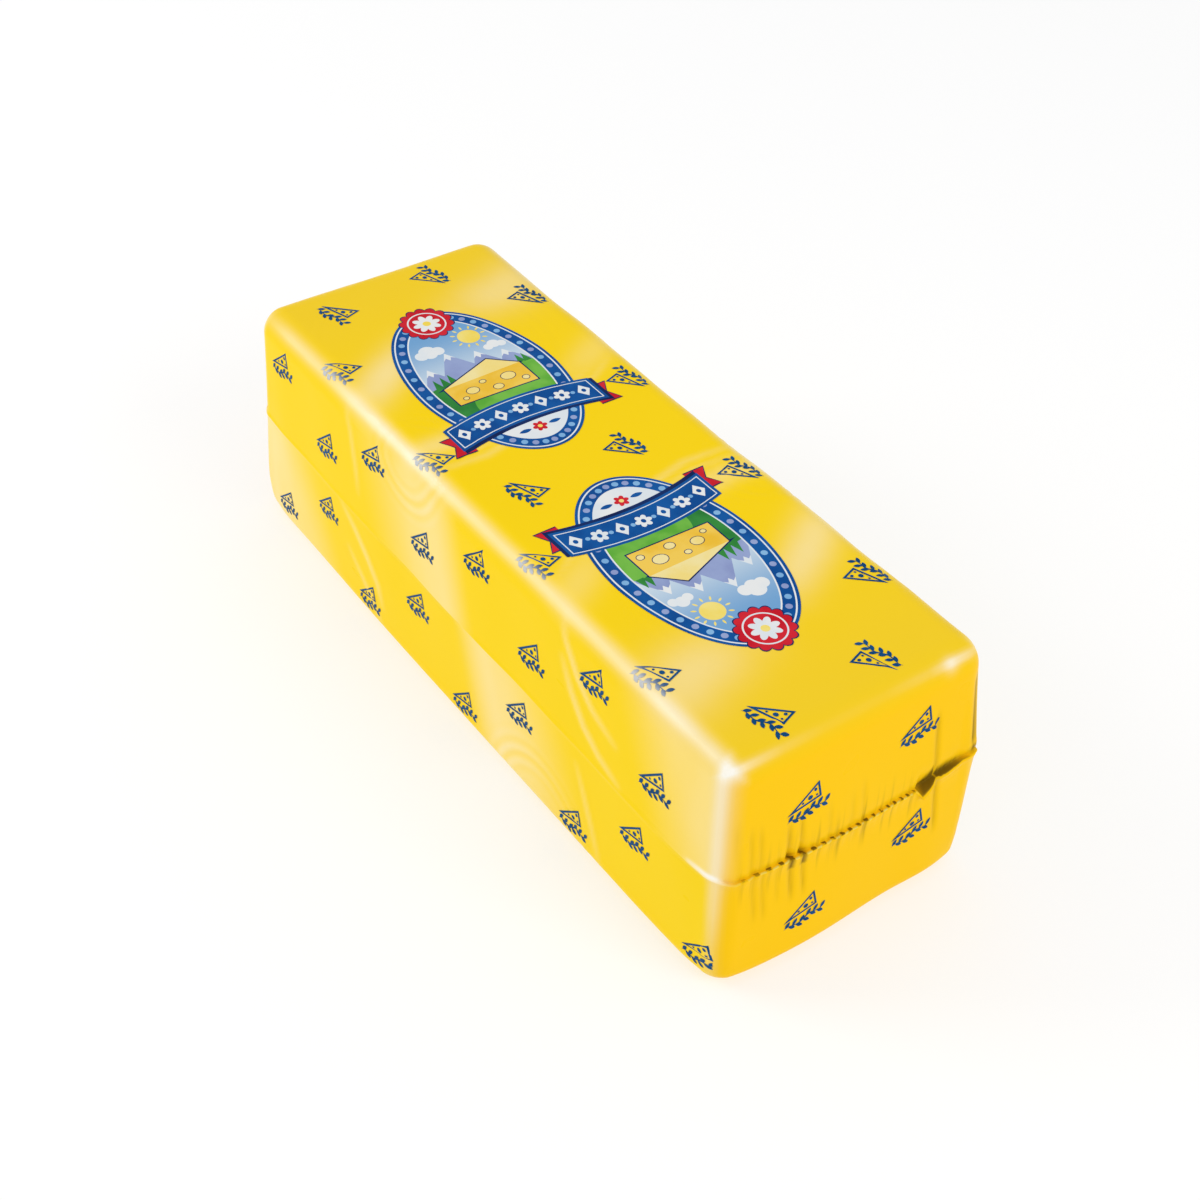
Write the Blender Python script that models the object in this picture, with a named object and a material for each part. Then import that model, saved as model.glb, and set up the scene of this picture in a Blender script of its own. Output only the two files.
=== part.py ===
"""A whole loaf of Swiss-type cheese, shut in a printed shrink film bag. Metres, +Z up.

The loaf lies on its long base. The origin is the middle of the base, +X runs along the loaf and
+Z is up. The bag is a lay-flat tube: its two folds run along the long sides at half height, and
each end is closed by a pinked seal that lies across the end face.
"""
import bmesh
import bpy
import numpy as np

MM = 0.001

# The block of cheese in its film
TOP_LENGTH = 297 * MM
TOP_WIDTH = 105.6 * MM
HEIGHT = 97 * MM
FLARE = 0.028
EDGE_RADIUS = 9.6 * MM
BASE_RADIUS = 7 * MM
FEET = (143 * MM, 45.5 * MM)
BASE_HOLLOW = 0.25 * MM
# The long sides bow out at their foot, less towards one end, where they also draw in a little
BASE_BOW = 1.6 * MM
BOW_RISE = (-149 * MM, -20 * MM)
BOW_FALL = (105 * MM, 160 * MM)
TAPER = 0.9 * MM
TAPER_REACH = (-149 * MM, -50 * MM)
END_SPREAD = 1.5 * MM
# (height, place across the end, reach) of the bulges at the foot of each end
END_BOWS = ((2.4 * MM, -16 * MM, 28 * MM), (1.0 * MM, 33 * MM, 12 * MM))
TOP_WAIST = 0.5 * MM
TOP_SAG = 0.7 * MM
# (height, length along the loaf, offset along the loaf) of the slow waves in the cut cheese
SLOW_WAVES = ((0.18 * MM, 97 * MM, 11 * MM), (0.12 * MM, 61 * MM, 31 * MM), (0.08 * MM, 37 * MM, 5 * MM))

# The folds of the lay-flat tube, along both long sides
FOLD_Z = 49 * MM
FOLD_HEIGHT = 0.2 * MM
FOLD_END_HEIGHT = 0.3 * MM
FOLD_END_REACH = 22 * MM
FOLD_WIDTH = 1.1 * MM
TENT_HEIGHT = 0.9 * MM
TENT_REACH = 38 * MM

# The seal across each end: the lower film laps over the upper one and ends in a pinked edge
SEAM_RISE_AT = np.array((-50, -20, 2, 25, 38, 50)) * MM
SEAM_RISE = np.array((-0.6, -1.6, -2.4, -1.6, 1.4, 3.2)) * MM
SEAM_RISE_REACH = 15 * MM
LAP_STAND = 0.5 * MM
LAP_WAVE = 0.5 * MM
LAP_PITCH_MID = 3.4 * MM
LAP_PITCH_FALL = 0.035
LAP_UNEVENNESS = 0.3
LAP_UNEVEN_TURNS = 2.4
LAP_PINKING = 0.45 * MM
LAP_FACING = (0.5, 0.96)
POCKET_DEPTH = 0.6 * MM
POCKET_WAVE = 0.4
POCKET_DROP = 1.2 * MM
# Film height over the seal line, and there the shares of the lap, the pocket behind it and the edge
PROFILE_W = np.array((-9, -5, -2.4, -0.8, 0, 0.6, 1.6, 3, 5.5, 9)) * MM
PROFILE_LAP = (0, 0.15, 0.5, 0.9, 1, 0.7, 0, 0, 0, 0)
PROFILE_POCKET = (0, 0, 0, 0, 0, 0, 1, 0.55, 0.15, 0)
PROFILE_EDGE = (0, 0, 0.3, 0.8, 1, 0.9, 0, 0, 0, 0)

# The mouth that gapes at one side of the seal
GAPE_AT = np.array((25.5, 27, 30.4, 33, 37.8, 42.7, 49)) * MM
GAPE_SHARE = (0, 1, 0.7, 0.12, 0.35, 0.25, 0)
GAPE_STAND = 2.0 * MM
GAPE_DEPTH = 2.2 * MM
GAPE_DROP = 2.2 * MM
GAPE_EDGE_DROP = 3.4 * MM

# (place across the end, lowest and highest point, depth, width) of the gathers that the seal pulls
GATHERS = (
    (-45.6 * MM, 50 * MM, 68 * MM, 0.15 * MM, 0.9 * MM),
    (-40.9 * MM, 34 * MM, 63 * MM, 0.30 * MM, 0.9 * MM),
    (-37.3 * MM, 33 * MM, 62 * MM, 0.30 * MM, 0.9 * MM),
    (-31.9 * MM, 38 * MM, 46 * MM, 0.20 * MM, 0.8 * MM),
    (-26.6 * MM, 36 * MM, 58 * MM, 0.60 * MM, 0.9 * MM),
    (-21.8 * MM, 36 * MM, 60 * MM, 0.50 * MM, 0.8 * MM),
    (-10.5 * MM, 48 * MM, 58 * MM, 0.20 * MM, 0.9 * MM),
    (-1.2 * MM, 48 * MM, 58 * MM, 0.15 * MM, 0.9 * MM),
    (3.3 * MM, 46 * MM, 60 * MM, 0.20 * MM, 0.9 * MM),
    (33.6 * MM, 30 * MM, 72 * MM, 0.55 * MM, 0.9 * MM),
)
GATHER_LEAN = 0.07
GATHER_FADE = 9 * MM
SNAGS_AT = (-26.2 * MM, -21.4 * MM)
SNAG_WIDTH = 1.6 * MM
SNAG_DEPTH = 1.6 * MM

# The tuck and the small knot of film at the corner beyond the gape
TUCK_AT = 48.4 * MM
TUCK_Z = (55 * MM, 80 * MM)
TUCK_DEPTH = 1.6 * MM
TUCK_WIDTH = 0.9 * MM
TUCK_FADE = 6 * MM
KNOT_AT = 49.5 * MM
KNOT_Z = 52.5 * MM
KNOT_HEIGHT = 0.8 * MM
KNOT_RADIUS = 2.2 * MM

# The ear of slack film that the seal's end draws out over that corner
EAR_HEIGHT = 2.8 * MM
EAR_REACH_UP = 42 * MM
EAR_REACH_DOWN = 36 * MM

# How far the film draws the lower corners in, and how far that reaches across and up
FOOT_PULL = 1.6 * MM
FOOT_REACH = 10 * MM
FOOT_RISE = 11 * MM

# (along, up) points of drawn creases on a long side, with height and width, and how soon they fade
# past their last point, as a share of one of their runs
CREASE_FADE = 0.4
SIDE_CREASES = (
    (MM * np.array(((61, 94), (66, 86), (73, 77), (82, 70), (95, 65.5))), 0.40 * MM, 1.5 * MM),
    (MM * np.array(((64, 79), (70, 69), (78, 60), (87, 54.5), (98, 51))), 0.40 * MM, 1.6 * MM),
    (MM * np.array(((-78, 94), (-73, 84), (-69, 70), (-67, 60))), 0.20 * MM, 1.5 * MM),
    (MM * np.array(((-79, 47), (-70, 41), (-61, 33), (-54, 25), (-51, 16))), 0.40 * MM, 1.7 * MM),
    (MM * np.array(((-76, 28), (-67, 21), (-59, 14), (-52, 7))), 0.30 * MM, 1.5 * MM),
    (MM * np.array(((75, 41), (79, 32), (85, 18), (90, 5))), 0.22 * MM, 1.5 * MM),
)
# How far above the table ripples are at full height
RIPPLE_FOOT = 8 * MM
# (centre, radius, spread, wave height, wave length) of rings of ripples in slack film
RIPPLES = (
    ((-35 * MM, -51 * MM, 97 * MM), 19 * MM, 6 * MM, 0.12 * MM, 5.2 * MM),
    ((55 * MM, -53 * MM, -4 * MM), 26 * MM, 7 * MM, 0.12 * MM, 5.6 * MM),
    ((-84 * MM, 8 * MM, 97 * MM), 60 * MM, 5 * MM, 0.05 * MM, 5.0 * MM),
    ((84 * MM, 22 * MM, 97 * MM), 56 * MM, 5 * MM, 0.05 * MM, 5.0 * MM),
)

# How finely the film is cut up before it is thinned, and how many faces are kept
GRID_X = 2.6 * MM
GRID_Y = 1.3 * MM
GRID_Z = 2.6 * MM
EDGE_STEPS = 4
SEAL_ROWS_BELOW = (-9, -7, -5, -3.6, -2.4, -1.6, -0.8, -0.3)
SEAL_ROWS_ABOVE = (0, 0.3, 0.6, 1.1, 1.6, 2.2, 3, 4, 5.5, 7, 9)
KEPT_FACES = 9000


def edge_lines(half):
    """Cut lines in a rounded edge, at even angles, as distances from the middle of the block."""
    angles = np.linspace(0, np.pi / 4, EDGE_STEPS + 1)[:-1]
    return half - EDGE_RADIUS + EDGE_RADIUS * np.tan(angles)


def even_lines(low, high, pitch):
    """Cut lines between two others, about a pitch apart."""
    count = round((high - low) / pitch)
    return np.linspace(low, high, count + 1)[1:-1]


def cut_lines():
    """Where the block is cut along X, Y and Z."""
    lines = []
    for half, pitch in ((TOP_LENGTH / 2, GRID_X), (TOP_WIDTH / 2, GRID_Y)):
        edge = edge_lines(half)
        lines.append(np.concatenate((-edge, even_lines(-edge[0], edge[0], pitch), edge)))
    edge = edge_lines(HEIGHT / 2)
    seal = FOLD_Z + MM * np.array(SEAL_ROWS_BELOW + SEAL_ROWS_ABOVE)
    below = even_lines(EDGE_RADIUS, seal[0], GRID_Z)
    above = even_lines(seal[-1], HEIGHT - EDGE_RADIUS, GRID_Z)
    lines.append(np.concatenate((HEIGHT / 2 - edge, HEIGHT / 2 + edge, below, seal, above)))
    return lines


def soft_step(value, low, high):
    """0 below low, 1 above high and an even S between."""
    share = np.clip((value - low) / (high - low), 0, 1)
    return share * share * (3 - 2 * share)


def hump(value, middle, width):
    """A round hump of height 1."""
    return np.exp(-(((value - middle) / width) ** 2))


def between(value, low, high, fade):
    """1 between low and high, fading to 0 outside."""
    return soft_step(value, low - fade, low) * (1 - soft_step(value, high, high + fade))


def rounded(points):
    """Points of the sharp block laid on the block with rounded edges, and the outward directions."""
    share = soft_step(points[:, 2], EDGE_RADIUS, HEIGHT - EDGE_RADIUS)
    radius = (BASE_RADIUS + (EDGE_RADIUS - BASE_RADIUS) * share)[:, None]
    core = np.array((TOP_LENGTH / 2, TOP_WIDTH / 2, HEIGHT / 2)) - radius
    middle = np.array((0, 0, HEIGHT / 2))
    held = np.clip(points - middle, -core, core)
    out = points - middle - held
    out /= np.linalg.norm(out, axis=1, keepdims=True)
    return middle + held + radius * out, out


def near_line(u, v, points, width):
    """1 on a drawn line, falling off to both sides of it and towards its ends."""
    best = np.zeros_like(u)
    last = len(points) - 1
    for index in range(last):
        start = points[index]
        run = points[index + 1] - start
        along = ((u - start[0]) * run[0] + (v - start[1]) * run[1]) / (run @ run)
        held = np.clip(along, 0, 1)
        away = np.hypot(u - start[0] - held * run[0], v - start[1] - held * run[1])
        strength = np.sin(np.pi * (index + held + CREASE_FADE) / (last + 2 * CREASE_FADE))
        best = np.maximum(best, strength * np.exp(-((away / width) ** 2)))
    return best


def cheese_waves(points, out):
    """The cut block is a little uneven, wider at its base and slack in the middle of its top."""
    x, y, z = points.T
    along = np.where(y > 0, -x, x)
    middle = np.cos(np.pi * x / TOP_LENGTH) ** 2
    low = 1 - z / HEIGHT
    side = BASE_BOW * low * soft_step(along, *BOW_RISE) * (1 - soft_step(along, *BOW_FALL))
    side -= TOP_WAIST * (1 - low) * middle + TAPER * (1 - soft_step(along, *TAPER_REACH))
    height = np.abs(out[:, 1]) * side
    height -= TOP_SAG * middle * np.clip(out[:, 2], 0, 1)
    bow = END_SPREAD + sum(size * hump(y, place, reach) for size, place, reach in END_BOWS)
    height += np.abs(out[:, 0]) * bow * low
    upper = soft_step(z, 0, HEIGHT / 2)
    for number, (size, length, offset) in enumerate(SLOW_WAVES):
        lean = y * (number + 1) / TOP_WIDTH + z / HEIGHT
        height += size * upper * np.sin(2 * np.pi * (x + offset) / length + 3 * lean)
    return height


def side_relief(points, out):
    """The fold of the tube at half height, the creases and the ripples of the long sides and top."""
    x, y, z = points.T
    turn = np.where(y > 0, -1, 1)
    along = x * turn
    facing = np.abs(out[:, 1])
    to_end = soft_step(np.abs(x), TOP_LENGTH / 2 - FOLD_END_REACH, TOP_LENGTH / 2)
    height = facing * (FOLD_HEIGHT + FOLD_END_HEIGHT * to_end) * hump(z, FOLD_Z, FOLD_WIDTH)
    tent = TENT_HEIGHT * (1 - np.clip(np.abs(z - FOLD_Z) / TENT_REACH, 0, 1))
    height += facing**2 * tent * (1 - to_end)
    for line, size, width in SIDE_CREASES:
        height += facing**3 * size * near_line(along, z, line, width)
    for centre, radius, spread, size, length in RIPPLES:
        away = np.hypot(np.hypot(along - centre[0], y * turn - centre[1]), z - centre[2])
        ring = size * np.cos(2 * np.pi * away / length) * hump(away, radius, spread)
        height += ring * soft_step(z, 0, RIPPLE_FOOT)
    return height


def gathers(across, z):
    """How far the gathers and the corner's tuck draw the end's film in, and its knot pushes it out."""
    depth = np.zeros_like(z)
    for place, low, high, size, width in GATHERS:
        leaning = across + GATHER_LEAN * (z - FOLD_Z)
        depth += size * hump(leaning, place, width) * between(z, low, high, GATHER_FADE)
    depth += TUCK_DEPTH * hump(across, TUCK_AT, TUCK_WIDTH) * between(z, *TUCK_Z, TUCK_FADE)
    away = np.hypot(across - KNOT_AT, z - KNOT_Z)
    return depth - KNOT_HEIGHT * hump(away, 0, KNOT_RADIUS)


def ear(points, out):
    """How far the film stands out from the upright edge beside the gape."""
    corner = np.clip(2 * out[:, 1] * np.abs(out[:, 0]), 0, 1)
    over = points[:, 2] - KNOT_Z
    fall = np.where(over > 0, over / EAR_REACH_UP, -over / EAR_REACH_DOWN)
    return corner * EAR_HEIGHT * np.clip(1 - fall, 0, 1)


def foot_pull(points):
    """How far the block's lower corners are drawn in, along the loaf and across it."""
    x, y, z = points.T
    away = np.hypot(np.abs(x) - TOP_LENGTH / 2, np.abs(y) - TOP_WIDTH / 2)
    return FOOT_PULL * hump(away, 0, FOOT_REACH) * hump(z, 0, FOOT_RISE)


def end_seal(points, out):
    """The seal's shift of the film, out along the loaf and up, on both ends."""
    across = points[:, 1]
    over = points[:, 2] - FOLD_Z
    facing = soft_step(np.abs(out[:, 0]), *LAP_FACING)
    # The pinked edge stands off in waves that grow closer towards the gape
    turns = -np.log(1 - LAP_PITCH_FALL * across / LAP_PITCH_MID) / LAP_PITCH_FALL
    teeth = np.sin(2 * np.pi * turns)
    uneven = 1 - LAP_UNEVENNESS * (1 - np.sin(LAP_UNEVEN_TURNS * turns))
    wave = (1 + teeth * uneven) / 2
    gape = np.interp(across, GAPE_AT, GAPE_SHARE)
    snag = sum(hump(across, place, SNAG_WIDTH) for place in SNAGS_AT)
    lap = LAP_STAND + LAP_WAVE * wave * (1 - gape) + GAPE_STAND * gape
    edge = LAP_PINKING * teeth * (1 - gape) - GAPE_EDGE_DROP * gape - LAP_STAND * snag
    pocket = POCKET_DEPTH * (1 + POCKET_WAVE * (2 * wave - 1)) + GAPE_DEPTH * gape + SNAG_DEPTH * snag
    drop = POCKET_DROP * (1 + snag) + GAPE_DROP * gape
    in_lap = np.interp(over, PROFILE_W, PROFILE_LAP)
    in_pocket = np.interp(over, PROFILE_W, PROFILE_POCKET)
    in_edge = np.interp(over, PROFILE_W, PROFILE_EDGE)
    push = lap * in_lap - pocket * in_pocket - gathers(across, points[:, 2])
    rise = np.interp(across, SEAM_RISE_AT, SEAM_RISE) * hump(over, 0, SEAM_RISE_REACH)
    return facing * push, facing * (edge * in_edge - drop * in_pocket + rise)


def dressed(points):
    """Points of the sharp block moved to the surface of the film round the cheese."""
    points, out = rounded(points)
    relief = cheese_waves(points, out) + side_relief(points, out) + ear(points, out)
    relief *= 1 - np.clip(-out[:, 2], 0, 1)
    push, lift = end_seal(points, out)
    moved = points + out * relief[:, None]
    pull = foot_pull(points)
    moved[:, 0] += np.sign(points[:, 0]) * (push - pull)
    moved[:, 1] -= np.sign(points[:, 1]) * pull
    moved[:, 2] += lift
    spread = 1 + FLARE * (1 - points[:, 2] / HEIGHT)
    moved[:, :2] *= spread[:, None]
    moved[:, 2] = np.maximum(moved[:, 2], BASE_HOLLOW)
    return moved


def block_mesh():
    """The sharp block, cut along all lines and then dressed, still open at its hollow base."""
    bm = bmesh.new()
    bmesh.ops.create_cube(bm, size=1)
    bmesh.ops.scale(bm, vec=(TOP_LENGTH, TOP_WIDTH, HEIGHT), verts=bm.verts)
    bmesh.ops.translate(bm, vec=(0, 0, HEIGHT / 2), verts=bm.verts)
    for axis, lines in enumerate(cut_lines()):
        across = np.eye(3)[axis]
        for line in sorted(lines):
            parts = bm.verts[:] + bm.edges[:] + bm.faces[:]
            bmesh.ops.bisect_plane(bm, geom=parts, plane_co=across * line, plane_no=across)
    sharp = np.array([vert.co for vert in bm.verts], dtype=float)
    for vert, place in zip(bm.verts, dressed(sharp)):
        vert.co = place
    base = [face for face in bm.faces if max(vert.co.z for vert in face.verts) < 1.01 * BASE_HOLLOW]
    bmesh.ops.delete(bm, geom=base, context="FACES")
    mesh = bpy.data.meshes.new("fine_loaf")
    bm.to_mesh(mesh)
    bm.free()
    return mesh


def thinned(mesh):
    """The mesh with fewer faces where it is nearly flat."""
    fine = bpy.data.objects.new("fine_loaf", mesh)
    bpy.context.scene.collection.objects.link(fine)
    thin = fine.modifiers.new("Thin", "DECIMATE")
    thin.decimate_type = "COLLAPSE"
    thin.use_collapse_triangulate = True
    thin.ratio = KEPT_FACES / sum(len(face.vertices) - 2 for face in mesh.polygons)
    bpy.context.view_layer.update()
    ready = fine.evaluated_get(bpy.context.evaluated_depsgraph_get())
    result = bpy.data.meshes.new_from_object(ready)
    bpy.data.objects.remove(fine, do_unlink=True)
    result.name = "wrapped_loaf"
    return result


def close_base(mesh):
    """Closes the base, a hair hollow, so that the loaf stands on its four corners."""
    bm = bmesh.new()
    bm.from_mesh(mesh)
    rim = [edge for edge in bm.edges if edge.is_boundary]
    rim_verts = {vert for edge in rim for vert in edge.verts}
    for vert in rim_verts:
        vert.co.z = BASE_HOLLOW
    for x in (-FEET[0], FEET[0]):
        for y in (-FEET[1], FEET[1]):
            foot = min(rim_verts, key=lambda vert: np.hypot(vert.co.x - x, vert.co.y - y))
            foot.co = (x, y, 0)
    base = bmesh.ops.holes_fill(bm, edges=rim)["faces"]
    bmesh.ops.poke(bm, faces=base)
    bmesh.ops.recalc_face_normals(bm, faces=bm.faces)
    bm.to_mesh(mesh)
    bm.free()


def film_material():
    """Yellow film printed on its inside, drawn tight over the cheese."""
    material = bpy.data.materials.new("yellow_film")
    material.use_nodes = True
    shader = material.node_tree.nodes["Principled BSDF"]
    shader.inputs["Base Color"].default_value = (0.95, 0.64, 0.02, 1)
    shader.inputs["Roughness"].default_value = 0.32
    shader.inputs["Metallic"].default_value = 0
    return material


def add_loaf(collection):
    """The wrapped loaf, thinned from its fine mesh and closed at its base."""
    mesh = thinned(block_mesh())
    close_base(mesh)
    mesh.materials.append(film_material())
    mesh.shade_smooth()
    loaf = bpy.data.objects.new("wrapped_loaf", mesh)
    collection.objects.link(loaf)
    return loaf


for old in list(bpy.data.objects):
    bpy.data.objects.remove(old, do_unlink=True)
loaf_collection = bpy.data.collections.new("wrapped_cheese_loaf")
bpy.context.scene.collection.children.link(loaf_collection)
add_loaf(loaf_collection)
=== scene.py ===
"""A whole loaf of Swiss-type cheese in printed yellow shrink film, dressed for its picture.

The CAD frame gives the loaf's place. Metres, +Z up, the loaf's length along X.
"""

import bmesh
import bpy
import numpy as np
from mathutils import Matrix, Vector, geometry


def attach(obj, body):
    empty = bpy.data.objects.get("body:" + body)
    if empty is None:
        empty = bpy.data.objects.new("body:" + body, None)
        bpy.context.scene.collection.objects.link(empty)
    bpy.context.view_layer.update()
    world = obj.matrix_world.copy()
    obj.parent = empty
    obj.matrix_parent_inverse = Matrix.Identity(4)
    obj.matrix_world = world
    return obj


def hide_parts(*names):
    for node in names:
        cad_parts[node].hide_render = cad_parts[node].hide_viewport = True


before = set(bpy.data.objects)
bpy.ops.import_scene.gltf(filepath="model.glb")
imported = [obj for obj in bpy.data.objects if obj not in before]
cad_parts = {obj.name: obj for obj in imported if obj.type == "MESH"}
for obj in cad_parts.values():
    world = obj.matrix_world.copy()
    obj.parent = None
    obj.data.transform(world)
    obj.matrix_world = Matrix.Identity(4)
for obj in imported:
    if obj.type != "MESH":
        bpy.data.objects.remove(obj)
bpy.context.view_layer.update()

# The block of cheese. It is cut square, a little wider at its base, and fills the film tightly.
MM = 0.001
TOP_LENGTH = 297 * MM
TOP_WIDTH = 105.6 * MM
HEIGHT = 97 * MM
FLARE = 0.028
EDGE_RADIUS = 9.6 * MM
BASE_RADIUS = 7 * MM
# The long sides bow out at their foot, less towards one end, where they also draw in a little
BASE_BOW = 1.6 * MM
BOW_RISE = (-149 * MM, -20 * MM)
BOW_FALL = (105 * MM, 160 * MM)
TAPER = 0.9 * MM
TAPER_REACH = (-149 * MM, -50 * MM)
END_SPREAD = 1.5 * MM
# (height, place across the end, reach) of the bulges at the foot of each end
END_BOWS = MM * np.array(((2.4, -16, 28), (1.0, 33, 12)))
TOP_WAIST = 0.5 * MM
TOP_SAG = 0.7 * MM
# (height, length along the loaf, offset along the loaf) of the slow waves in the cut cheese
SLOW_WAVES = MM * np.array(((0.18, 97, 11), (0.12, 61, 31), (0.08, 37, 5)))


def soft_step(value, low, high):
    """0 below low, 1 above high and an even S between."""
    share = np.clip((value - low) / (high - low), 0, 1)
    return share * share * (3 - 2 * share)


def hump(value, middle, width):
    """A round hump of height 1."""
    return np.exp(-(((value - middle) / width) ** 2))


def between(value, low, high, fade):
    """1 between low and high, fading to 0 outside."""
    return soft_step(value, low - fade, low) * (1 - soft_step(value, high, high + fade))


def rounded(points):
    """Points of the sharp block laid on the block with rounded edges, and the outward directions."""
    share = soft_step(points[:, 2], EDGE_RADIUS, HEIGHT - EDGE_RADIUS)
    radius = (BASE_RADIUS + (EDGE_RADIUS - BASE_RADIUS) * share)[:, None]
    core = np.array((TOP_LENGTH / 2, TOP_WIDTH / 2, HEIGHT / 2)) - radius
    middle = np.array((0, 0, HEIGHT / 2))
    held = np.clip(points - middle, -core, core)
    out = points - middle - held
    out /= np.linalg.norm(out, axis=1, keepdims=True)
    return middle + held + radius * out, out


def cheese_waves(points, out):
    """The cut block is a little uneven, wider at its base and slack in the middle of its top."""
    x, y, z = points.T
    along = np.where(y > 0, -x, x)
    middle = np.cos(np.pi * x / TOP_LENGTH) ** 2
    low = 1 - z / HEIGHT
    side = BASE_BOW * low * soft_step(along, *BOW_RISE) * (1 - soft_step(along, *BOW_FALL))
    side -= TOP_WAIST * (1 - low) * middle + TAPER * (1 - soft_step(along, *TAPER_REACH))
    height = np.abs(out[:, 1]) * side
    height -= TOP_SAG * middle * np.clip(out[:, 2], 0, 1)
    bow = END_SPREAD + sum(size * hump(y, place, reach) for size, place, reach in END_BOWS)
    height += np.abs(out[:, 0]) * bow * low
    upper = soft_step(z, 0, HEIGHT / 2)
    for number, (size, length, offset) in enumerate(SLOW_WAVES):
        lean = y * (number + 1) / TOP_WIDTH + z / HEIGHT
        height += size * upper * np.sin(2 * np.pi * (x + offset) / length + 3 * lean)
    return height


# The folds of the film. The bag is a lay-flat tube, so a fold runs along each long side at half
# height, and the shrunk film bridges the block there and stands off it in creases and ripples.
FOLD_Z = 49 * MM
FOLD_HEIGHT = 0.2 * MM
FOLD_END_HEIGHT = 0.3 * MM
FOLD_END_REACH = 22 * MM
FOLD_WIDTH = 1.1 * MM
TENT_HEIGHT = 0.9 * MM
TENT_REACH = 38 * MM
# How far past its last point a drawn line fades out, as a share of one of its runs
LINE_FADE = 0.4
# (along, up) points of drawn creases on a long side, with height and width
SIDE_CREASES = (
    (MM * np.array(((61, 94), (66, 86), (73, 77), (82, 70), (95, 65.5))), 0.40 * MM, 1.5 * MM),
    (MM * np.array(((64, 79), (70, 69), (78, 60), (87, 54.5), (98, 51))), 0.40 * MM, 1.6 * MM),
    (MM * np.array(((-78, 94), (-73, 84), (-69, 70), (-67, 60))), 0.20 * MM, 1.5 * MM),
    (MM * np.array(((-79, 47), (-70, 41), (-61, 33), (-54, 25), (-51, 16))), 0.40 * MM, 1.7 * MM),
    (MM * np.array(((-76, 28), (-67, 21), (-59, 14), (-52, 7))), 0.30 * MM, 1.5 * MM),
    (MM * np.array(((75, 41), (79, 32), (85, 18), (90, 5))), 0.22 * MM, 1.5 * MM),
)
# How far above the table ripples are at full height
RIPPLE_FOOT = 8 * MM
# (centre, radius, spread, wave height, wave length) of rings of ripples in slack film
RIPPLES = MM * np.array((
    (-35, -51, 97, 19, 6, 0.12, 5.2),
    (55, -53, -4, 26, 7, 0.12, 5.6),
    (-84, 8, 97, 60, 5, 0.05, 5.0),
    (84, 22, 97, 56, 5, 0.05, 5.0),
))
# Patches of painted reflection on the slack film of the upper half of a long side: the left and right
# border of each patch, at the fold and at the edge, how softly they fade, and how pale it is. The lower
# half is like the upper one, upside down and a little further along. A patch is palest at its right border.
SHEEN_PATCHES = (
    ((-40 * MM, -60 * MM), (3 * MM, -12 * MM), (22 * MM, 12 * MM), 0.30),
    ((128 * MM, 104 * MM), (158 * MM, 158 * MM), (18 * MM, 4 * MM), 0.31),
)
SHEEN_PATCH_SHIFT = 12 * MM
SHEEN_PATCH_LEAST = 0.55
# (along, across) points of painted streaks of reflection over the top, with half width and share of white
TOP_SHEEN = (
    (MM * np.array(((-118, 56), (-108, 36), (-104, 16))), 12 * MM, 0.24),
    (MM * np.array(((-106, 22), (-102, -2), (-88, -28))), 5 * MM, 0.14),
    (MM * np.array(((-94, -14), (-82, -32), (-64, -56))), 8 * MM, 0.30),
    (MM * np.array(((-52, 50), (-40, 32), (-28, 4), (-20, -28), (-22, -56))), 1.6 * MM, 0.14),
    (MM * np.array(((-57, 50), (-45, 32), (-33, 4), (-25, -28), (-27, -56))), 1.4 * MM, 0.12),
    (MM * np.array(((-36, -16), (-34, -36), (-36, -58))), 5 * MM, 0.20),
    (MM * np.array(((-62, 54), (-46, 28))), 7 * MM, 0.12),
)
# How much painted sheen a millimetre of ripple or of crease adds to the film
RIPPLE_SHEEN = 3.2
CREASE_SHEEN = 0.55
# Painted highlights along the film's rounded edges: places along an edge, and the share of white there
LONG_EDGE_AT = MM * np.array((-149, -138, -125, -90, -75, -55, -35, -10, 20, 60, 90, 130, 142, 149))
LONG_EDGE_WHITE = (0.08, 0.15, 0.28, 0.32, 0.4, 0.55, 0.45, 0.36, 0.33, 0.33, 0.35, 0.4, 0.45, 0.7)
UPRIGHT_EDGE_AT = MM * np.array((5, 20, 36, 45, 60, 80, 88, 94))
UPRIGHT_EDGE_WHITE = (0.12, 0.14, 0.3, 0.34, 0.36, 0.38, 0.42, 0.8)
END_EDGE_AT = MM * np.array((-48, -40, -30, -15, 10, 22, 28, 33, 37, 42, 50))
END_EDGE_WHITE = (0.45, 0.25, 0.08, 0.02, 0.02, 0.08, 0.08, 0.25, 0.6, 0.4, 0.15)
# Where the painted highlight lies on each rounded edge and how wide it is, in degrees
LONG_BAND, UPRIGHT_BAND, END_BAND = (50, 16), (33, 15), (42, 8)
# How much of that white the other edges have, at the back and at the far end
OTHER_EDGE_SHARE = 0.25
# (place, radius, share of white) of the glints on the corners, and of the one on the fold's end
GLINTS = (
    (MM * np.array((147.5, -50, 94)), 3.6 * MM, 0.6),
    (MM * np.array((147.5, 36.5, 94)), 2.6 * MM, 0.3),
)
FOLD_GLINT = (MM * np.array(((134, 49.8), (146, 50.2), (151, 50.4), (154, 50.4))), 0.9 * MM, 0.9)
# Where, from the middle of the loaf, painted shade starts to deepen the top's yellow and is deepest
TOP_SHADE_REACH = (50 * MM, 145 * MM)


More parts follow.
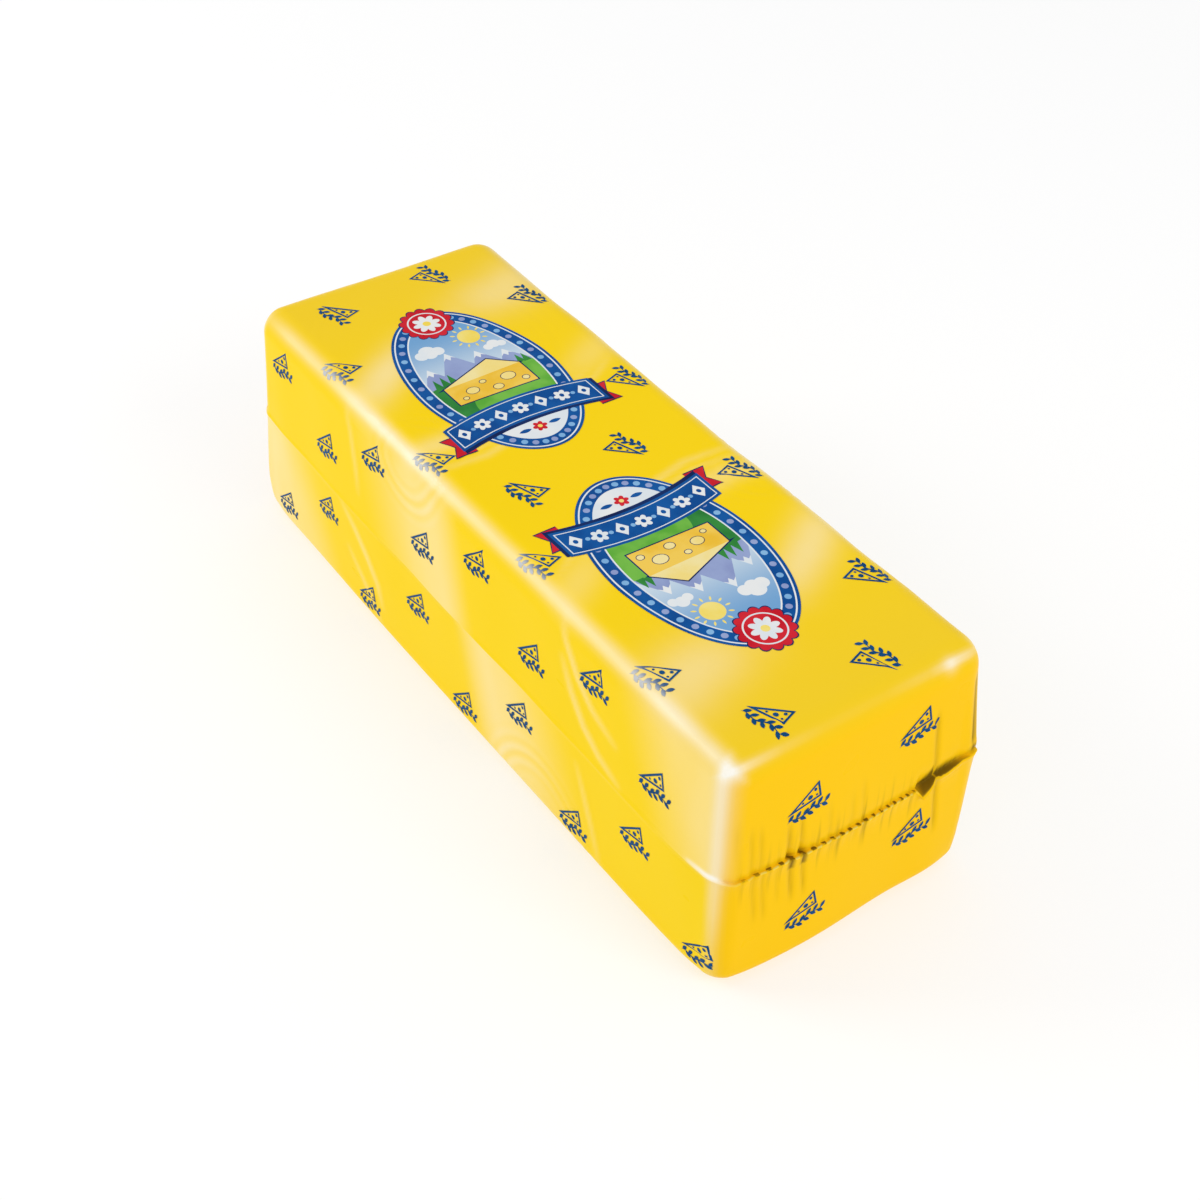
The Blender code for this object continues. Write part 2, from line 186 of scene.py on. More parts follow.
def near_line(u, v, points, width):
    """1 on a drawn line, falling off to both sides of it and towards its ends."""
    best = np.zeros_like(u)
    last = len(points) - 1
    for index in range(last):
        start = points[index]
        run = points[index + 1] - start
        along = ((u - start[0]) * run[0] + (v - start[1]) * run[1]) / (run @ run)
        held = np.clip(along, 0, 1)
        away = np.hypot(u - start[0] - held * run[0], v - start[1] - held * run[1])
        strength = np.sin(np.pi * (index + held + LINE_FADE) / (last + 2 * LINE_FADE))
        best = np.maximum(best, strength * np.exp(-((away / width) ** 2)))
    return best


def ripples(points):
    """Height of the rings of ripples, which stop short of the table."""
    x, y, z = points.T
    turn = np.where(y > 0, -1, 1)
    height = np.zeros_like(x)
    for *centre, radius, spread, size, length in RIPPLES:
        away = np.hypot(np.hypot(x * turn - centre[0], y * turn - centre[1]), z - centre[2])
        height += size * np.cos(2 * np.pi * away / length) * hump(away, radius, spread)
    return height * soft_step(z, 0, RIPPLE_FOOT)


def side_relief(points, out):
    """The fold of the tube at half height, the creases and the ripples of the long sides and top."""
    x, y, z = points.T
    turn = np.where(y > 0, -1, 1)
    along = x * turn
    facing = np.abs(out[:, 1])
    to_end = soft_step(np.abs(x), TOP_LENGTH / 2 - FOLD_END_REACH, TOP_LENGTH / 2)
    height = facing * (FOLD_HEIGHT + FOLD_END_HEIGHT * to_end) * hump(z, FOLD_Z, FOLD_WIDTH)
    tent = TENT_HEIGHT * (1 - np.clip(np.abs(z - FOLD_Z) / TENT_REACH, 0, 1))
    height += facing**2 * tent * (1 - to_end)
    for line, size, width in SIDE_CREASES:
        height += facing**3 * size * near_line(along, z, line, width)
    return height + ripples(points)


def sheen_patches(along, z):
    """How much painted reflection whitens the slack film of a long side."""
    lower = z < FOLD_Z
    u = np.where(lower, SHEEN_PATCH_SHIFT - along, along)
    rise = np.abs(z - FOLD_Z) / (HEIGHT - FOLD_Z)
    share = np.zeros_like(z)
    for left, right, (left_fade, right_fade), strength in SHEEN_PATCHES:
        low = left[0] + (left[1] - left[0]) * rise
        high = right[0] + (right[1] - right[0]) * rise
        inside = soft_step(u, low - left_fade, low + left_fade)
        inside *= 1 - soft_step(u, high - right_fade, high + right_fade)
        paler = SHEEN_PATCH_LEAST + (1 - SHEEN_PATCH_LEAST) * soft_step(u, low, high)
        share = np.maximum(share, strength * inside * paler)
    return share


def edge_band(first, second, band):
    """1 along a rounded edge between two faces, which the parts of the outward direction tell apart."""
    angle = np.degrees(np.arctan2(np.abs(first), np.abs(second)))
    return hump(angle, *band) * (first**2 + second**2)


def glare(points, out):
    """1 on the rounded long edges of the top, where the lamps' shine lies over the print."""
    band = edge_band(np.clip(out[:, 2], 0, 1), out[:, 1], LONG_BAND)
    return band * np.where(points[:, 1] < 0, 1, OTHER_EDGE_SHARE)


def painted_sheen_share(points, out):
    """How much painted sheen whitens the film, 0 to 1: painted reflections where it stands off the cheese,
    in its creases and ripples and in streaks over the top, and painted highlights and glints where it is
    drawn tight over an edge."""
    x, y, z = points.T
    turn = np.where(y > 0, -1, 1)
    along, across = x * turn, y * turn
    on_side, on_top, on_end = out[:, 1] ** 2, np.clip(out[:, 2], 0, 1), np.abs(out[:, 0])
    share = sheen_patches(along, z) * on_side * (1 + RIPPLE_SHEEN * ripples(points) / MM)
    for line, size, width in SIDE_CREASES:
        share += CREASE_SHEEN * size / MM * near_line(along, z, line, width) * on_side
    glint_line, glint_width, glint_share = FOLD_GLINT
    share += glint_share * near_line(along, z, glint_line, glint_width) * on_side**2
    top_sheen = np.zeros_like(x)
    for line, width, strength in TOP_SHEEN:
        near = np.maximum(near_line(x, y, line, width), near_line(-x, -y, line, width))
        top_sheen = np.maximum(top_sheen, strength * near)
    share += top_sheen * on_top
    long_edge = edge_band(on_top, out[:, 1], LONG_BAND)
    upright_edge = edge_band(on_end, out[:, 1], UPRIGHT_BAND)
    end_edge = edge_band(on_top, on_end, END_BAND)
    long_edge *= np.interp(along, LONG_EDGE_AT, LONG_EDGE_WHITE)
    share += long_edge * np.where(y < 0, 1, OTHER_EDGE_SHARE)
    upright_edge *= np.interp(z, UPRIGHT_EDGE_AT, UPRIGHT_EDGE_WHITE)
    share += upright_edge * np.where((along > 0) & (y < 0), 1, OTHER_EDGE_SHARE)
    share += end_edge * np.interp(y, END_EDGE_AT, END_EDGE_WHITE)
    for place, radius, strength in GLINTS:
        near_corner = np.stack((along, across, z)).T if place[1] < 0 else np.stack((np.abs(x), y, z)).T
        away = np.linalg.norm(near_corner - place, axis=1)
        share += strength * hump(away, 0, radius)
    return np.clip(share, 0, 1)


# The seals. Each end of the tube is closed across the end face: the lower film laps over the upper
# one and ends in a pinked edge, with gathers, a gaping mouth at one side and a knot at the corner.
SEAM_RISE_AT = np.array((-50, -20, 2, 25, 38, 50)) * MM
SEAM_RISE = np.array((-0.6, -1.6, -2.4, -1.6, 1.4, 3.2)) * MM
SEAM_RISE_REACH = 15 * MM
LAP_STAND = 0.5 * MM
LAP_WAVE = 0.5 * MM
LAP_PITCH_MID = 3.4 * MM
LAP_PITCH_FALL = 0.035
LAP_UNEVENNESS = 0.3
LAP_UNEVEN_TURNS = 2.4
LAP_PINKING = 0.45 * MM
LAP_FACING = (0.5, 0.96)
POCKET_DEPTH = 0.6 * MM
POCKET_WAVE = 0.4
POCKET_DROP = 1.2 * MM
# Film height over the seal line, and there the shares of the lap, the pocket behind it and the edge
PROFILE_W = np.array((-9, -5, -2.4, -0.8, 0, 0.6, 1.6, 3, 5.5, 9)) * MM
PROFILE_LAP = (0, 0.15, 0.5, 0.9, 1, 0.7, 0, 0, 0, 0)
PROFILE_POCKET = (0, 0, 0, 0, 0, 0, 1, 0.55, 0.15, 0)
PROFILE_EDGE = (0, 0, 0.3, 0.8, 1, 0.9, 0, 0, 0, 0)
GAPE_AT = np.array((25.5, 27, 30.4, 33, 37.8, 42.7, 49)) * MM
GAPE_SHARE = (0, 1, 0.7, 0.12, 0.35, 0.25, 0)
GAPE_STAND = 2.0 * MM
GAPE_DEPTH = 2.2 * MM
GAPE_DROP = 2.2 * MM
GAPE_EDGE_DROP = 3.4 * MM
# (place across the end, lowest and highest point, depth, width) of the gathers that the seal pulls
GATHERS = MM * np.array((
    (-45.6, 50, 68, 0.15, 0.9),
    (-40.9, 34, 63, 0.30, 0.9),
    (-37.3, 33, 62, 0.30, 0.9),
    (-31.9, 38, 46, 0.20, 0.8),
    (-26.6, 36, 58, 0.60, 0.9),
    (-21.8, 36, 60, 0.50, 0.8),
    (-10.5, 48, 58, 0.20, 0.9),
    (-1.2, 48, 58, 0.15, 0.9),
    (3.3, 46, 60, 0.20, 0.9),
    (33.6, 30, 72, 0.55, 0.9),
))
GATHER_LEAN = 0.07
GATHER_FADE = 9 * MM
SNAGS_AT = (-26.2 * MM, -21.4 * MM)
SNAG_WIDTH = 1.6 * MM
SNAG_DEPTH = 1.6 * MM
# Painted shadow in the gashes over the snags, and in the hole beside the knot (across, up, radius)
GASH_WIDTH = 1.0 * MM
GASH_REACH = (-3.6 * MM, 1.2 * MM)
GASH_FADE = 1.4 * MM
KNOT_HOLE = (48.4 * MM, 51.8 * MM, 1.3 * MM)
# How far above the seal line the mouth's painted shadow reaches, in millimetres
MOUTH_AT = np.array((25.0, 26.2, 28, 30.4, 32.4, 33.2, 34.2, 37.8, 42.7, 46, 49)) * MM
MOUTH_TOP = (0, 2.4, 4.2, 5.8, 7.4, 2.6, 5.8, 5.2, 3.9, 2.4, 0)
# How clearly the painted shadow in the gaps between the teeth shows along the seal
SEAM_AT = np.array((-50, -44, -34, 24, 26)) * MM
SEAM_SHOW = (0, 0.5, 1, 1, 0)
# How much painted shade a millimetre of gather gets, and how much the tuck gets at most
GATHER_SHADE = 0.5
TUCK_SHADE = 0.85
TUCK_AT = 48.4 * MM
TUCK_Z = (55 * MM, 80 * MM)
TUCK_DEPTH = 1.6 * MM
TUCK_WIDTH = 0.9 * MM
TUCK_FADE = 6 * MM
KNOT_AT = 49.5 * MM
KNOT_Z = 52.5 * MM
KNOT_HEIGHT = 0.8 * MM
KNOT_RADIUS = 2.2 * MM
EAR_HEIGHT = 2.8 * MM
EAR_REACH_UP = 42 * MM
EAR_REACH_DOWN = 36 * MM
# How far the film draws the lower corners in, and how far that reaches across and up
FOOT_PULL = 1.6 * MM
FOOT_REACH = 10 * MM
FOOT_RISE = 11 * MM


def gathers(across, z):
    """How far the gathers and the corner's tuck draw the end's film in, and its knot pushes it out."""
    depth = np.zeros_like(z)
    for place, low, high, size, width in GATHERS:
        leaning = across + GATHER_LEAN * (z - FOLD_Z)
        depth += size * hump(leaning, place, width) * between(z, low, high, GATHER_FADE)
    depth += TUCK_DEPTH * hump(across, TUCK_AT, TUCK_WIDTH) * between(z, *TUCK_Z, TUCK_FADE)
    away = np.hypot(across - KNOT_AT, z - KNOT_Z)
    return depth - KNOT_HEIGHT * hump(away, 0, KNOT_RADIUS)


def ear(points, out):
    """How far the film stands out from the upright edge beside the gape."""
    corner = np.clip(2 * out[:, 1] * np.abs(out[:, 0]), 0, 1)
    over = points[:, 2] - KNOT_Z
    fall = np.where(over > 0, over / EAR_REACH_UP, -over / EAR_REACH_DOWN)
    return corner * EAR_HEIGHT * np.clip(1 - fall, 0, 1)


def foot_pull(points):
    """How far the block's lower corners are drawn in, along the loaf and across it."""
    x, y, z = points.T
    away = np.hypot(np.abs(x) - TOP_LENGTH / 2, np.abs(y) - TOP_WIDTH / 2)
    return FOOT_PULL * hump(away, 0, FOOT_REACH) * hump(z, 0, FOOT_RISE)


def tooth_turns(across):
    """How many teeth of the pinked edge lie between the middle of the end and this place."""
    return -np.log(1 - LAP_PITCH_FALL * across / LAP_PITCH_MID) / LAP_PITCH_FALL


def end_seal(points, out):
    """The seal's shift of the film, out along the loaf and up, on both ends."""
    across = points[:, 1]
    over = points[:, 2] - FOLD_Z
    facing = soft_step(np.abs(out[:, 0]), *LAP_FACING)
    # The pinked edge stands off in waves that grow closer towards the gape
    turns = tooth_turns(across)
    teeth = np.sin(2 * np.pi * turns)
    uneven = 1 - LAP_UNEVENNESS * (1 - np.sin(LAP_UNEVEN_TURNS * turns))
    wave = (1 + teeth * uneven) / 2
    gape = np.interp(across, GAPE_AT, GAPE_SHARE)
    snag = sum(hump(across, place, SNAG_WIDTH) for place in SNAGS_AT)
    lap = LAP_STAND + LAP_WAVE * wave * (1 - gape) + GAPE_STAND * gape
    edge = LAP_PINKING * teeth * (1 - gape) - GAPE_EDGE_DROP * gape - LAP_STAND * snag
    pocket = POCKET_DEPTH * (1 + POCKET_WAVE * (2 * wave - 1)) + GAPE_DEPTH * gape + SNAG_DEPTH * snag
    drop = POCKET_DROP * (1 + snag) + GAPE_DROP * gape
    in_lap = np.interp(over, PROFILE_W, PROFILE_LAP)
    in_pocket = np.interp(over, PROFILE_W, PROFILE_POCKET)
    in_edge = np.interp(over, PROFILE_W, PROFILE_EDGE)
    push = lap * in_lap - pocket * in_pocket - gathers(across, points[:, 2])
    rise = np.interp(across, SEAM_RISE_AT, SEAM_RISE) * hump(over, 0, SEAM_RISE_REACH)
    return facing * push, facing * (edge * in_edge - drop * in_pocket + rise)


def dressed(points):
    """Points of the sharp block moved to the surface of the film round the cheese."""
    points, out = rounded(points)
    relief = cheese_waves(points, out) + side_relief(points, out) + ear(points, out)
    relief *= 1 - np.clip(-out[:, 2], 0, 1)
    push, lift = end_seal(points, out)
    moved = points + out * relief[:, None]
    pull = foot_pull(points)
    moved[:, 0] += np.sign(points[:, 0]) * (push - pull)
    moved[:, 1] -= np.sign(points[:, 1]) * pull
    moved[:, 2] += lift
    spread = 1 + FLARE * (1 - points[:, 2] / HEIGHT)
    moved[:, :2] *= spread[:, None]
    moved[:, 2] = np.maximum(moved[:, 2], 0)
    return moved


# The film itself, glossy yellow PE shrunk on hot. It is one skin, cut into cells that are finest
# where the seal's teeth are, and it hides the plain loaf of the frame.
CELL_X = 1.5 * MM
CELL_Y = 0.9 * MM
CELL_Z = 1.5 * MM
EDGE_CELLS = 6
SEAL_ROWS = np.array((-9, -7.5, -6, -5, -4.2, -3.4, -2.8, -2.2, -1.6, -1.1, -0.7, -0.35, -0.1,
                      0, 0.2, 0.4, 0.6, 0.85, 1.1, 1.35, 1.6, 2, 2.5, 3, 3.8, 4.6, 5.5, 6.6, 7.8, 9)) * MM
# How far past the flat the cut lines of a rounded edge lie, at equal angles
EDGE_SHARES = np.tan(np.linspace(0, np.pi / 4, EDGE_CELLS + 1)[1:])


def even_lines(low, high, pitch):
    """Cut lines from one place to another, about a pitch apart."""
    return np.linspace(low, high, round((high - low) / pitch) + 1)


def cell_lines(half, pitch):
    """Cut lines along the loaf or across it, from edge to edge."""
    flat = half - EDGE_RADIUS
    edge = flat + EDGE_RADIUS * EDGE_SHARES
    return np.concatenate((-edge[::-1], even_lines(-flat, flat, pitch), edge))


def height_lines():
    """Cut lines from the table to the top, close together round the seal and the fold."""
    edge = EDGE_RADIUS * (1 - EDGE_SHARES)[::-1]
    seal = FOLD_Z + SEAL_ROWS
    below = even_lines(EDGE_RADIUS, seal[0], CELL_Z)
    above = even_lines(seal[-1], HEIGHT - EDGE_RADIUS, CELL_Z)
    return np.concatenate((edge, below, seal[1:-1], above, HEIGHT - edge[::-1]))


def new_tree(name, inputs):
    """A Geometry Nodes tree with these named inputs, and its own input and output nodes."""
    tree = bpy.data.node_groups.new(name, "GeometryNodeTree")
    for label, kind in inputs:
        tree.interface.new_socket(label, in_out="INPUT", socket_type=kind)
    tree.interface.new_socket("Geometry", in_out="OUTPUT", socket_type="NodeSocketGeometry")
    return tree, tree.nodes.new("NodeGroupInput"), tree.nodes.new("NodeGroupOutput")


def add_node(tree, kind, inputs=(), **settings):
    """A node with its settings, whose inputs take a value or another node's output."""
    node = tree.nodes.new(kind)
    for name, value in settings.items():
        setattr(node, name, value)
    for key, value in dict(inputs).items():
        if isinstance(value, bpy.types.NodeSocket):
            tree.links.new(value, node.inputs[key])
        else:
            node.inputs[key].default_value = value
    return node


def made_mesh(holder, tree, values, name):
    """The plain mesh that a Geometry Nodes tree makes on an object with these input values."""
    modifier = holder.modifiers.new(name, "NODES")
    modifier.node_group = tree
    sockets = {item.name: item.identifier for item in tree.interface.items_tree if item.in_out == "INPUT"}
    for label, value in values.items():
        modifier[sockets[label]] = value
    bpy.context.view_layer.update()
    ready = holder.evaluated_get(bpy.context.evaluated_depsgraph_get())
    mesh = bpy.data.meshes.new_from_object(ready)
    mesh.name = name
    holder.modifiers.remove(modifier)
    return mesh


def add_piece(name, mesh):
    """A piece of the scene that holds this mesh."""
    piece = bpy.data.objects.new(name, mesh)
    bpy.context.scene.collection.objects.link(piece)
    return piece


film_paint = bpy.data.materials.new("yellow_film")
cell_tree, cell_in, cell_out = new_tree("cut_block", (
    ("Lines Along", "NodeSocketInt"),
    ("Lines Across", "NodeSocketInt"),
    ("Lines Up", "NodeSocketInt"),
    ("Film", "NodeSocketMaterial"),
))
block = add_node(cell_tree, "GeometryNodeMeshCube", {
    "Size": (1, 1, 1),
    "Vertices X": cell_in.outputs["Lines Along"],
    "Vertices Y": cell_in.outputs["Lines Across"],
    "Vertices Z": cell_in.outputs["Lines Up"],
})
whole = add_node(cell_tree, "GeometryNodeRealizeInstances", {"Geometry": block.outputs["Mesh"]})
painted = add_node(cell_tree, "GeometryNodeSetMaterial", {
    "Geometry": whole.outputs["Geometry"],
    "Material": cell_in.outputs["Film"],
})
cell_tree.links.new(painted.outputs["Geometry"], cell_out.inputs["Geometry"])

cuts = (cell_lines(TOP_LENGTH / 2, CELL_X), cell_lines(TOP_WIDTH / 2, CELL_Y), height_lines())
film = add_piece("loaf_film", bpy.data.meshes.new("block_cells"))
film.data = made_mesh(film, cell_tree, {
    "Lines Along": len(cuts[0]),
    "Lines Across": len(cuts[1]),
    "Lines Up": len(cuts[2]),
    "Film": film_paint,
}, "loaf_film")


def read_points(mesh):
    """The mesh's points as rows of x, y and z."""
    places = np.empty(3 * len(mesh.vertices))
    mesh.vertices.foreach_get("co", places)
    return places.reshape(-1, 3)


# How much a place faces out along the loaf where the end's yellow, and the painted shade of its gathers,
# start and are full
END_FACING = (0.2, 0.95)
DRAWN_FACING = (0.2, 0.8)
sharp = read_points(film.data)
for axis, lines in enumerate(cuts):
    cell = np.rint((sharp[:, axis] + 0.5) * (len(lines) - 1)).astype(int)
    sharp[:, axis] = lines[cell]
film.data.vertices.foreach_set("co", dressed(sharp).ravel())
film_points, film_out = rounded(sharp)
film_across = film_points[:, 1]
film_over = film_points[:, 2] - FOLD_Z
facing_end = np.abs(film_out[:, 0])
painted_gather_shade = np.clip(gathers(film_across, film_points[:, 2]) / MM * GATHER_SHADE, 0, TUCK_SHADE)
# Painted shade, deepening the top's yellow towards both ends of the loaf
painted_top_shade = soft_step(np.abs(film_points[:, 0]), *TOP_SHADE_REACH) * np.clip(film_out[:, 2], 0, 1)
# Painted shadow in the gashes, which lie just over the seal line, and in the hole beside the knot
gash_shadow = sum(hump(film_across, place, GASH_WIDTH) for place in SNAGS_AT)
gash_shadow *= between(film_over, *GASH_REACH, GASH_FADE)
from_knot = np.hypot(film_across - KNOT_HOLE[0], film_points[:, 2] - KNOT_HOLE[1])
# What the materials read: one number for each point
film_values = {
    "painted_sheen": painted_sheen_share(film_points, film_out),
    "glare": glare(film_points, film_out),
    "end": soft_step(facing_end, *END_FACING),
    "over_seal": film_over / MM,
    "tooth_turns": tooth_turns(film_across),
    "mouth_top": np.interp(film_across, MOUTH_AT, MOUTH_TOP),
    "seam": np.interp(film_across, SEAM_AT, SEAM_SHOW),
    "painted_gather_shade": painted_gather_shade * soft_step(facing_end, *DRAWN_FACING),
    "painted_top_shade": painted_top_shade,
    "gash_shadow": np.maximum(gash_shadow, hump(from_knot, 0, KNOT_HOLE[2])),
}
for value_name, values in film_values.items():
    kept = film.data.attributes.new(value_name, "FLOAT", "POINT")
    kept.data.foreach_set("value", values.astype(np.float32))

# The film's own map. The tube is unrolled flat, with each end face beside it, so that the print can
# be laid on in real millimetres. MAP_SIDE is the width of the square that holds it all.
MAP_SIDE = 420 * MM
MAP_GAP = 6 * MM
FLAT_LONG = TOP_LENGTH / 2 - EDGE_RADIUS
FLAT_WIDE = TOP_WIDTH / 2 - EDGE_RADIUS
FLAT_TALL = HEIGHT / 2 - EDGE_RADIUS
QUARTER = EDGE_RADIUS * np.pi / 4
SIDE_DROP = FLAT_WIDE + 2 * QUARTER + FLAT_TALL
# A cell whose middle lies this far out, as a share of the half block, belongs to that face
ON_FACE = 1 - 1e-5
TUBE_MIDDLE = MAP_GAP + np.array((FLAT_LONG + QUARTER, 2 * SIDE_DROP + FLAT_WIDE + QUARTER))
END_LEFT = 2 * TUBE_MIDDLE[0]
END_MIDDLES = {
    1: np.array((END_LEFT + FLAT_WIDE + QUARTER, MAP_GAP + FLAT_TALL + QUARTER)),
    -1: np.array((END_LEFT + FLAT_WIDE + QUARTER, 2 * MAP_GAP + 3 * (FLAT_TALL + QUARTER))),
}


def arc_length(distance, flat):
    """Distance from the middle along the film, over the flat and then round the edge."""
    past = np.clip((np.abs(distance) - flat) / EDGE_RADIUS, 0, None)
    return np.sign(distance) * (np.minimum(np.abs(distance), flat) + EDGE_RADIUS * np.arctan(past))


def on_map(panel, along, across, up):
    """Map places, in metres, of points of the sharp block on one of its panels."""
    s, a, h = arc_length(along, FLAT_LONG), arc_length(across, FLAT_WIDE), arc_length(up, FLAT_TALL)
    if panel in ("near", "far"):
        side = 1 if panel == "near" else -1
        return END_MIDDLES[side] + np.column_stack((side * a, h))
    t = {"top": a, "front": h - SIDE_DROP, "back": SIDE_DROP - h, "base": -2 * SIDE_DROP - a}[panel]
    return TUBE_MIDDLE + np.column_stack((s, t))


def map_film(mesh, points):
    """Gives every corner of every cell its place on the film's map."""
    corners = np.empty(len(mesh.loops), dtype=int)
    mesh.loops.foreach_get("vertex_index", corners)
    cells = corners.reshape(-1, 4)
    along, across, up = points.T
    up = up - HEIGHT / 2
    halves = np.array((TOP_LENGTH, TOP_WIDTH, HEIGHT)) / 2
    centred = np.column_stack((along, across, up))[cells].mean(axis=1)
    share = centred / halves
    places = np.zeros((len(corners), 2))
    for panel, axis, sign in (("near", 0, 1), ("far", 0, -1), ("back", 1, 1), ("front", 1, -1),
                              ("top", 2, 1), ("base", 2, -1)):
        on_panel = np.repeat(share[:, axis] * sign > ON_FACE, 4)
        held = corners[on_panel]
        places[on_panel] = on_map(panel, along[held], across[held], up[held])
    layer = mesh.uv_layers.new(name="film_map")
    layer.data.foreach_set("uv", (places / MAP_SIDE).ravel())


map_film(film.data, sharp)


def flatten_base(mesh):
    """Makes one face of the cells that lie on the table."""
    bm = bmesh.new()
    bm.from_mesh(mesh)
    flat = [face for face in bm.faces if max(vert.co.z for vert in face.verts) == 0]
    bmesh.ops.dissolve_faces(bm, faces=flat)
    bm.to_mesh(mesh)
    bm.free()


flatten_base(film.data)
film.data.shade_smooth()
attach(film, "root")
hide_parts("wrapped_loaf")


def colour_mix(tree, share, first, second):
    """first where share is 0 and second where it is 1."""
    node = add_node(tree, "ShaderNodeMix", {0: share, 6: first, 7: second}, data_type="RGBA")
    return node.outputs[2]


def calc(tree, operation, *values):
    """One step of sums on masks."""
    node = add_node(tree, "ShaderNodeMath", dict(enumerate(values)), operation=operation)
    return node.outputs[0]


def all_of(tree, first, *others):
    """Masks multiplied together."""
    for other in others:
        first = calc(tree, "MULTIPLY", first, other)
    return first


def any_of(tree, first, *others):
    """The strongest of some masks."""
    for other in others:
        first = calc(tree, "MAXIMUM", first, other)
    return first


def ramp(tree, value, low, high):
    """A mask: 0 where the value is below low and 1 where it is above high, or the other way round."""
    node = add_node(tree, "ShaderNodeMapRange", {
        "Value": value, "From Min": low, "From Max": high}, interpolation_type="SMOOTHSTEP")
    return node.outputs["Result"]


def noise(tree, scale, detail, stretch=(1, 1, 1)):
    """Noise in the object's own metres, stretched along its axes."""
    place = tree.nodes.new("ShaderNodeTexCoord").outputs["Object"]
    mapping = add_node(tree, "ShaderNodeMapping", {"Vector": place, "Scale": stretch})
    node = add_node(tree, "ShaderNodeTexNoise", {
        "Vector": mapping.outputs["Vector"], "Scale": scale, "Detail": detail})
    return node.outputs["Fac"]


# Film gloss: the shrunk skin is never quite even, so its gloss and its surface waver a little.
# A finish is a roughness and how much it wavers.
FILM_FINISH = (0.3, 0.12)
INK_FINISH = (0.26, 0.08)
WAVER = (60, 2, (0.35, 1, 1))
CRINKLE = (420, 2)
CRINKLE_SHARE = 0.12
WAVER_HEIGHT = 0.25 * MM
WAVER_STRENGTH = 0.5
SPECULAR = 0.03
film_gloss = bpy.data.node_groups.new("film_gloss", "ShaderNodeTree")
for label in ("Roughness", "Unevenness"):
    film_gloss.interface.new_socket(label, in_out="INPUT", socket_type="NodeSocketFloat")
for label in ("Roughness", "Height"):
    film_gloss.interface.new_socket(label, in_out="OUTPUT", socket_type="NodeSocketFloat")
gloss_in = film_gloss.nodes.new("NodeGroupInput")
gloss_out = film_gloss.nodes.new("NodeGroupOutput")
drawn = noise(film_gloss, *WAVER)
wavering = calc(film_gloss, "MULTIPLY_ADD", noise(film_gloss, *CRINKLE), CRINKLE_SHARE, drawn)
rough = calc(film_gloss, "MULTIPLY_ADD", calc(film_gloss, "SUBTRACT", drawn, 0.5),
             gloss_in.outputs["Unevenness"], gloss_in.outputs["Roughness"])
film_gloss.links.new(rough, gloss_out.inputs["Roughness"])
film_gloss.links.new(wavering, gloss_out.inputs["Height"])


def glossy(material, colour, finish):
    """Wires a colour and the film's gloss into the material's shader."""
    tree = material.node_tree
    shader = tree.nodes["Principled BSDF"]
    gloss = add_node(tree, "ShaderNodeGroup", node_tree=film_gloss)
    gloss.inputs["Roughness"].default_value, gloss.inputs["Unevenness"].default_value = finish
    bump = add_node(tree, "ShaderNodeBump", {
        "Height": gloss.outputs["Height"], "Strength": WAVER_STRENGTH, "Distance": WAVER_HEIGHT})
    tree.links.new(gloss.outputs["Roughness"], shader.inputs["Roughness"])
    tree.links.new(bump.outputs["Normal"], shader.inputs["Normal"])
    tree.links.new(colour, shader.inputs["Base Color"])
    shader.inputs["Specular IOR Level"].default_value = SPECULAR


film_paint.use_nodes = True
paint = film_paint.node_tree


def stored(tree, name):
    """A number that the piece keeps for each point."""
    return add_node(tree, "ShaderNodeAttribute", attribute_name=name).outputs["Fac"]


SIDE_YELLOW = (0.93, 0.645, 0.006, 1)
END_YELLOW = (0.93, 0.555, 0.004, 1)
TOP_SHADE_YELLOW = (0.88, 0.60, 0.020, 1)
PAINTED_SHEEN_WHITE = (0.97, 0.95, 0.88, 1)
GAP_SHADOW_BROWN = (0.115, 0.064, 0.006, 1)
LIP_HIGHLIGHT_YELLOW = (0.98, 0.80, 0.16, 1)
SHEEN_CLOUDS = (40, 2, (1, 1, 0.5))
SHEEN_SHOW = (-0.4, 0.6)
COAT_SHARE = 0.7
COAT_ROUGHNESS = 0.18
# Painted sheen: painted reflections, highlights and glints mix white into the film's yellow, broken up by
# soft clouds
painted_sheen = all_of(paint, stored(paint, "painted_sheen"), ramp(paint, noise(paint, *SHEEN_CLOUDS), *SHEEN_SHOW))
yellow = colour_mix(paint, stored(paint, "end"), SIDE_YELLOW, END_YELLOW)
yellow = colour_mix(paint, stored(paint, "painted_top_shade"), yellow, TOP_SHADE_YELLOW)
yellow = colour_mix(paint, painted_sheen, yellow, PAINTED_SHEEN_WHITE)


def close_to(tree, height, middle, fade):
    """A mask: 1 near a height and 0 away from it."""
    return ramp(tree, calc(tree, "ABSOLUTE", calc(tree, "SUBTRACT", height, middle)), *fade)


# Round the seal the film is drawn in gathers, with painted shade in them and in fine streaks between them.
# A fade holds where a mask is 0 and where it is 1, in millimetres over the seal line.
STREAK_FADE = (14, 1)
STREAK_GRAIN = (420, 2, (0, 1, 0.04))
STREAK_SHOW = (0.5, 0.8)
STREAK_SHARE = 0.45
over = stored(paint, "over_seal")
on_end = stored(paint, "end")
seam = stored(paint, "seam")
mouth_top = stored(paint, "mouth_top")
streak_shade = ramp(paint, noise(paint, *STREAK_GRAIN), *STREAK_SHOW)
streak_shade = all_of(paint, streak_shade, seam, close_to(paint, over, 0, STREAK_FADE), STREAK_SHARE)
shade = any_of(paint, streak_shade, stored(paint, "painted_gather_shade"))

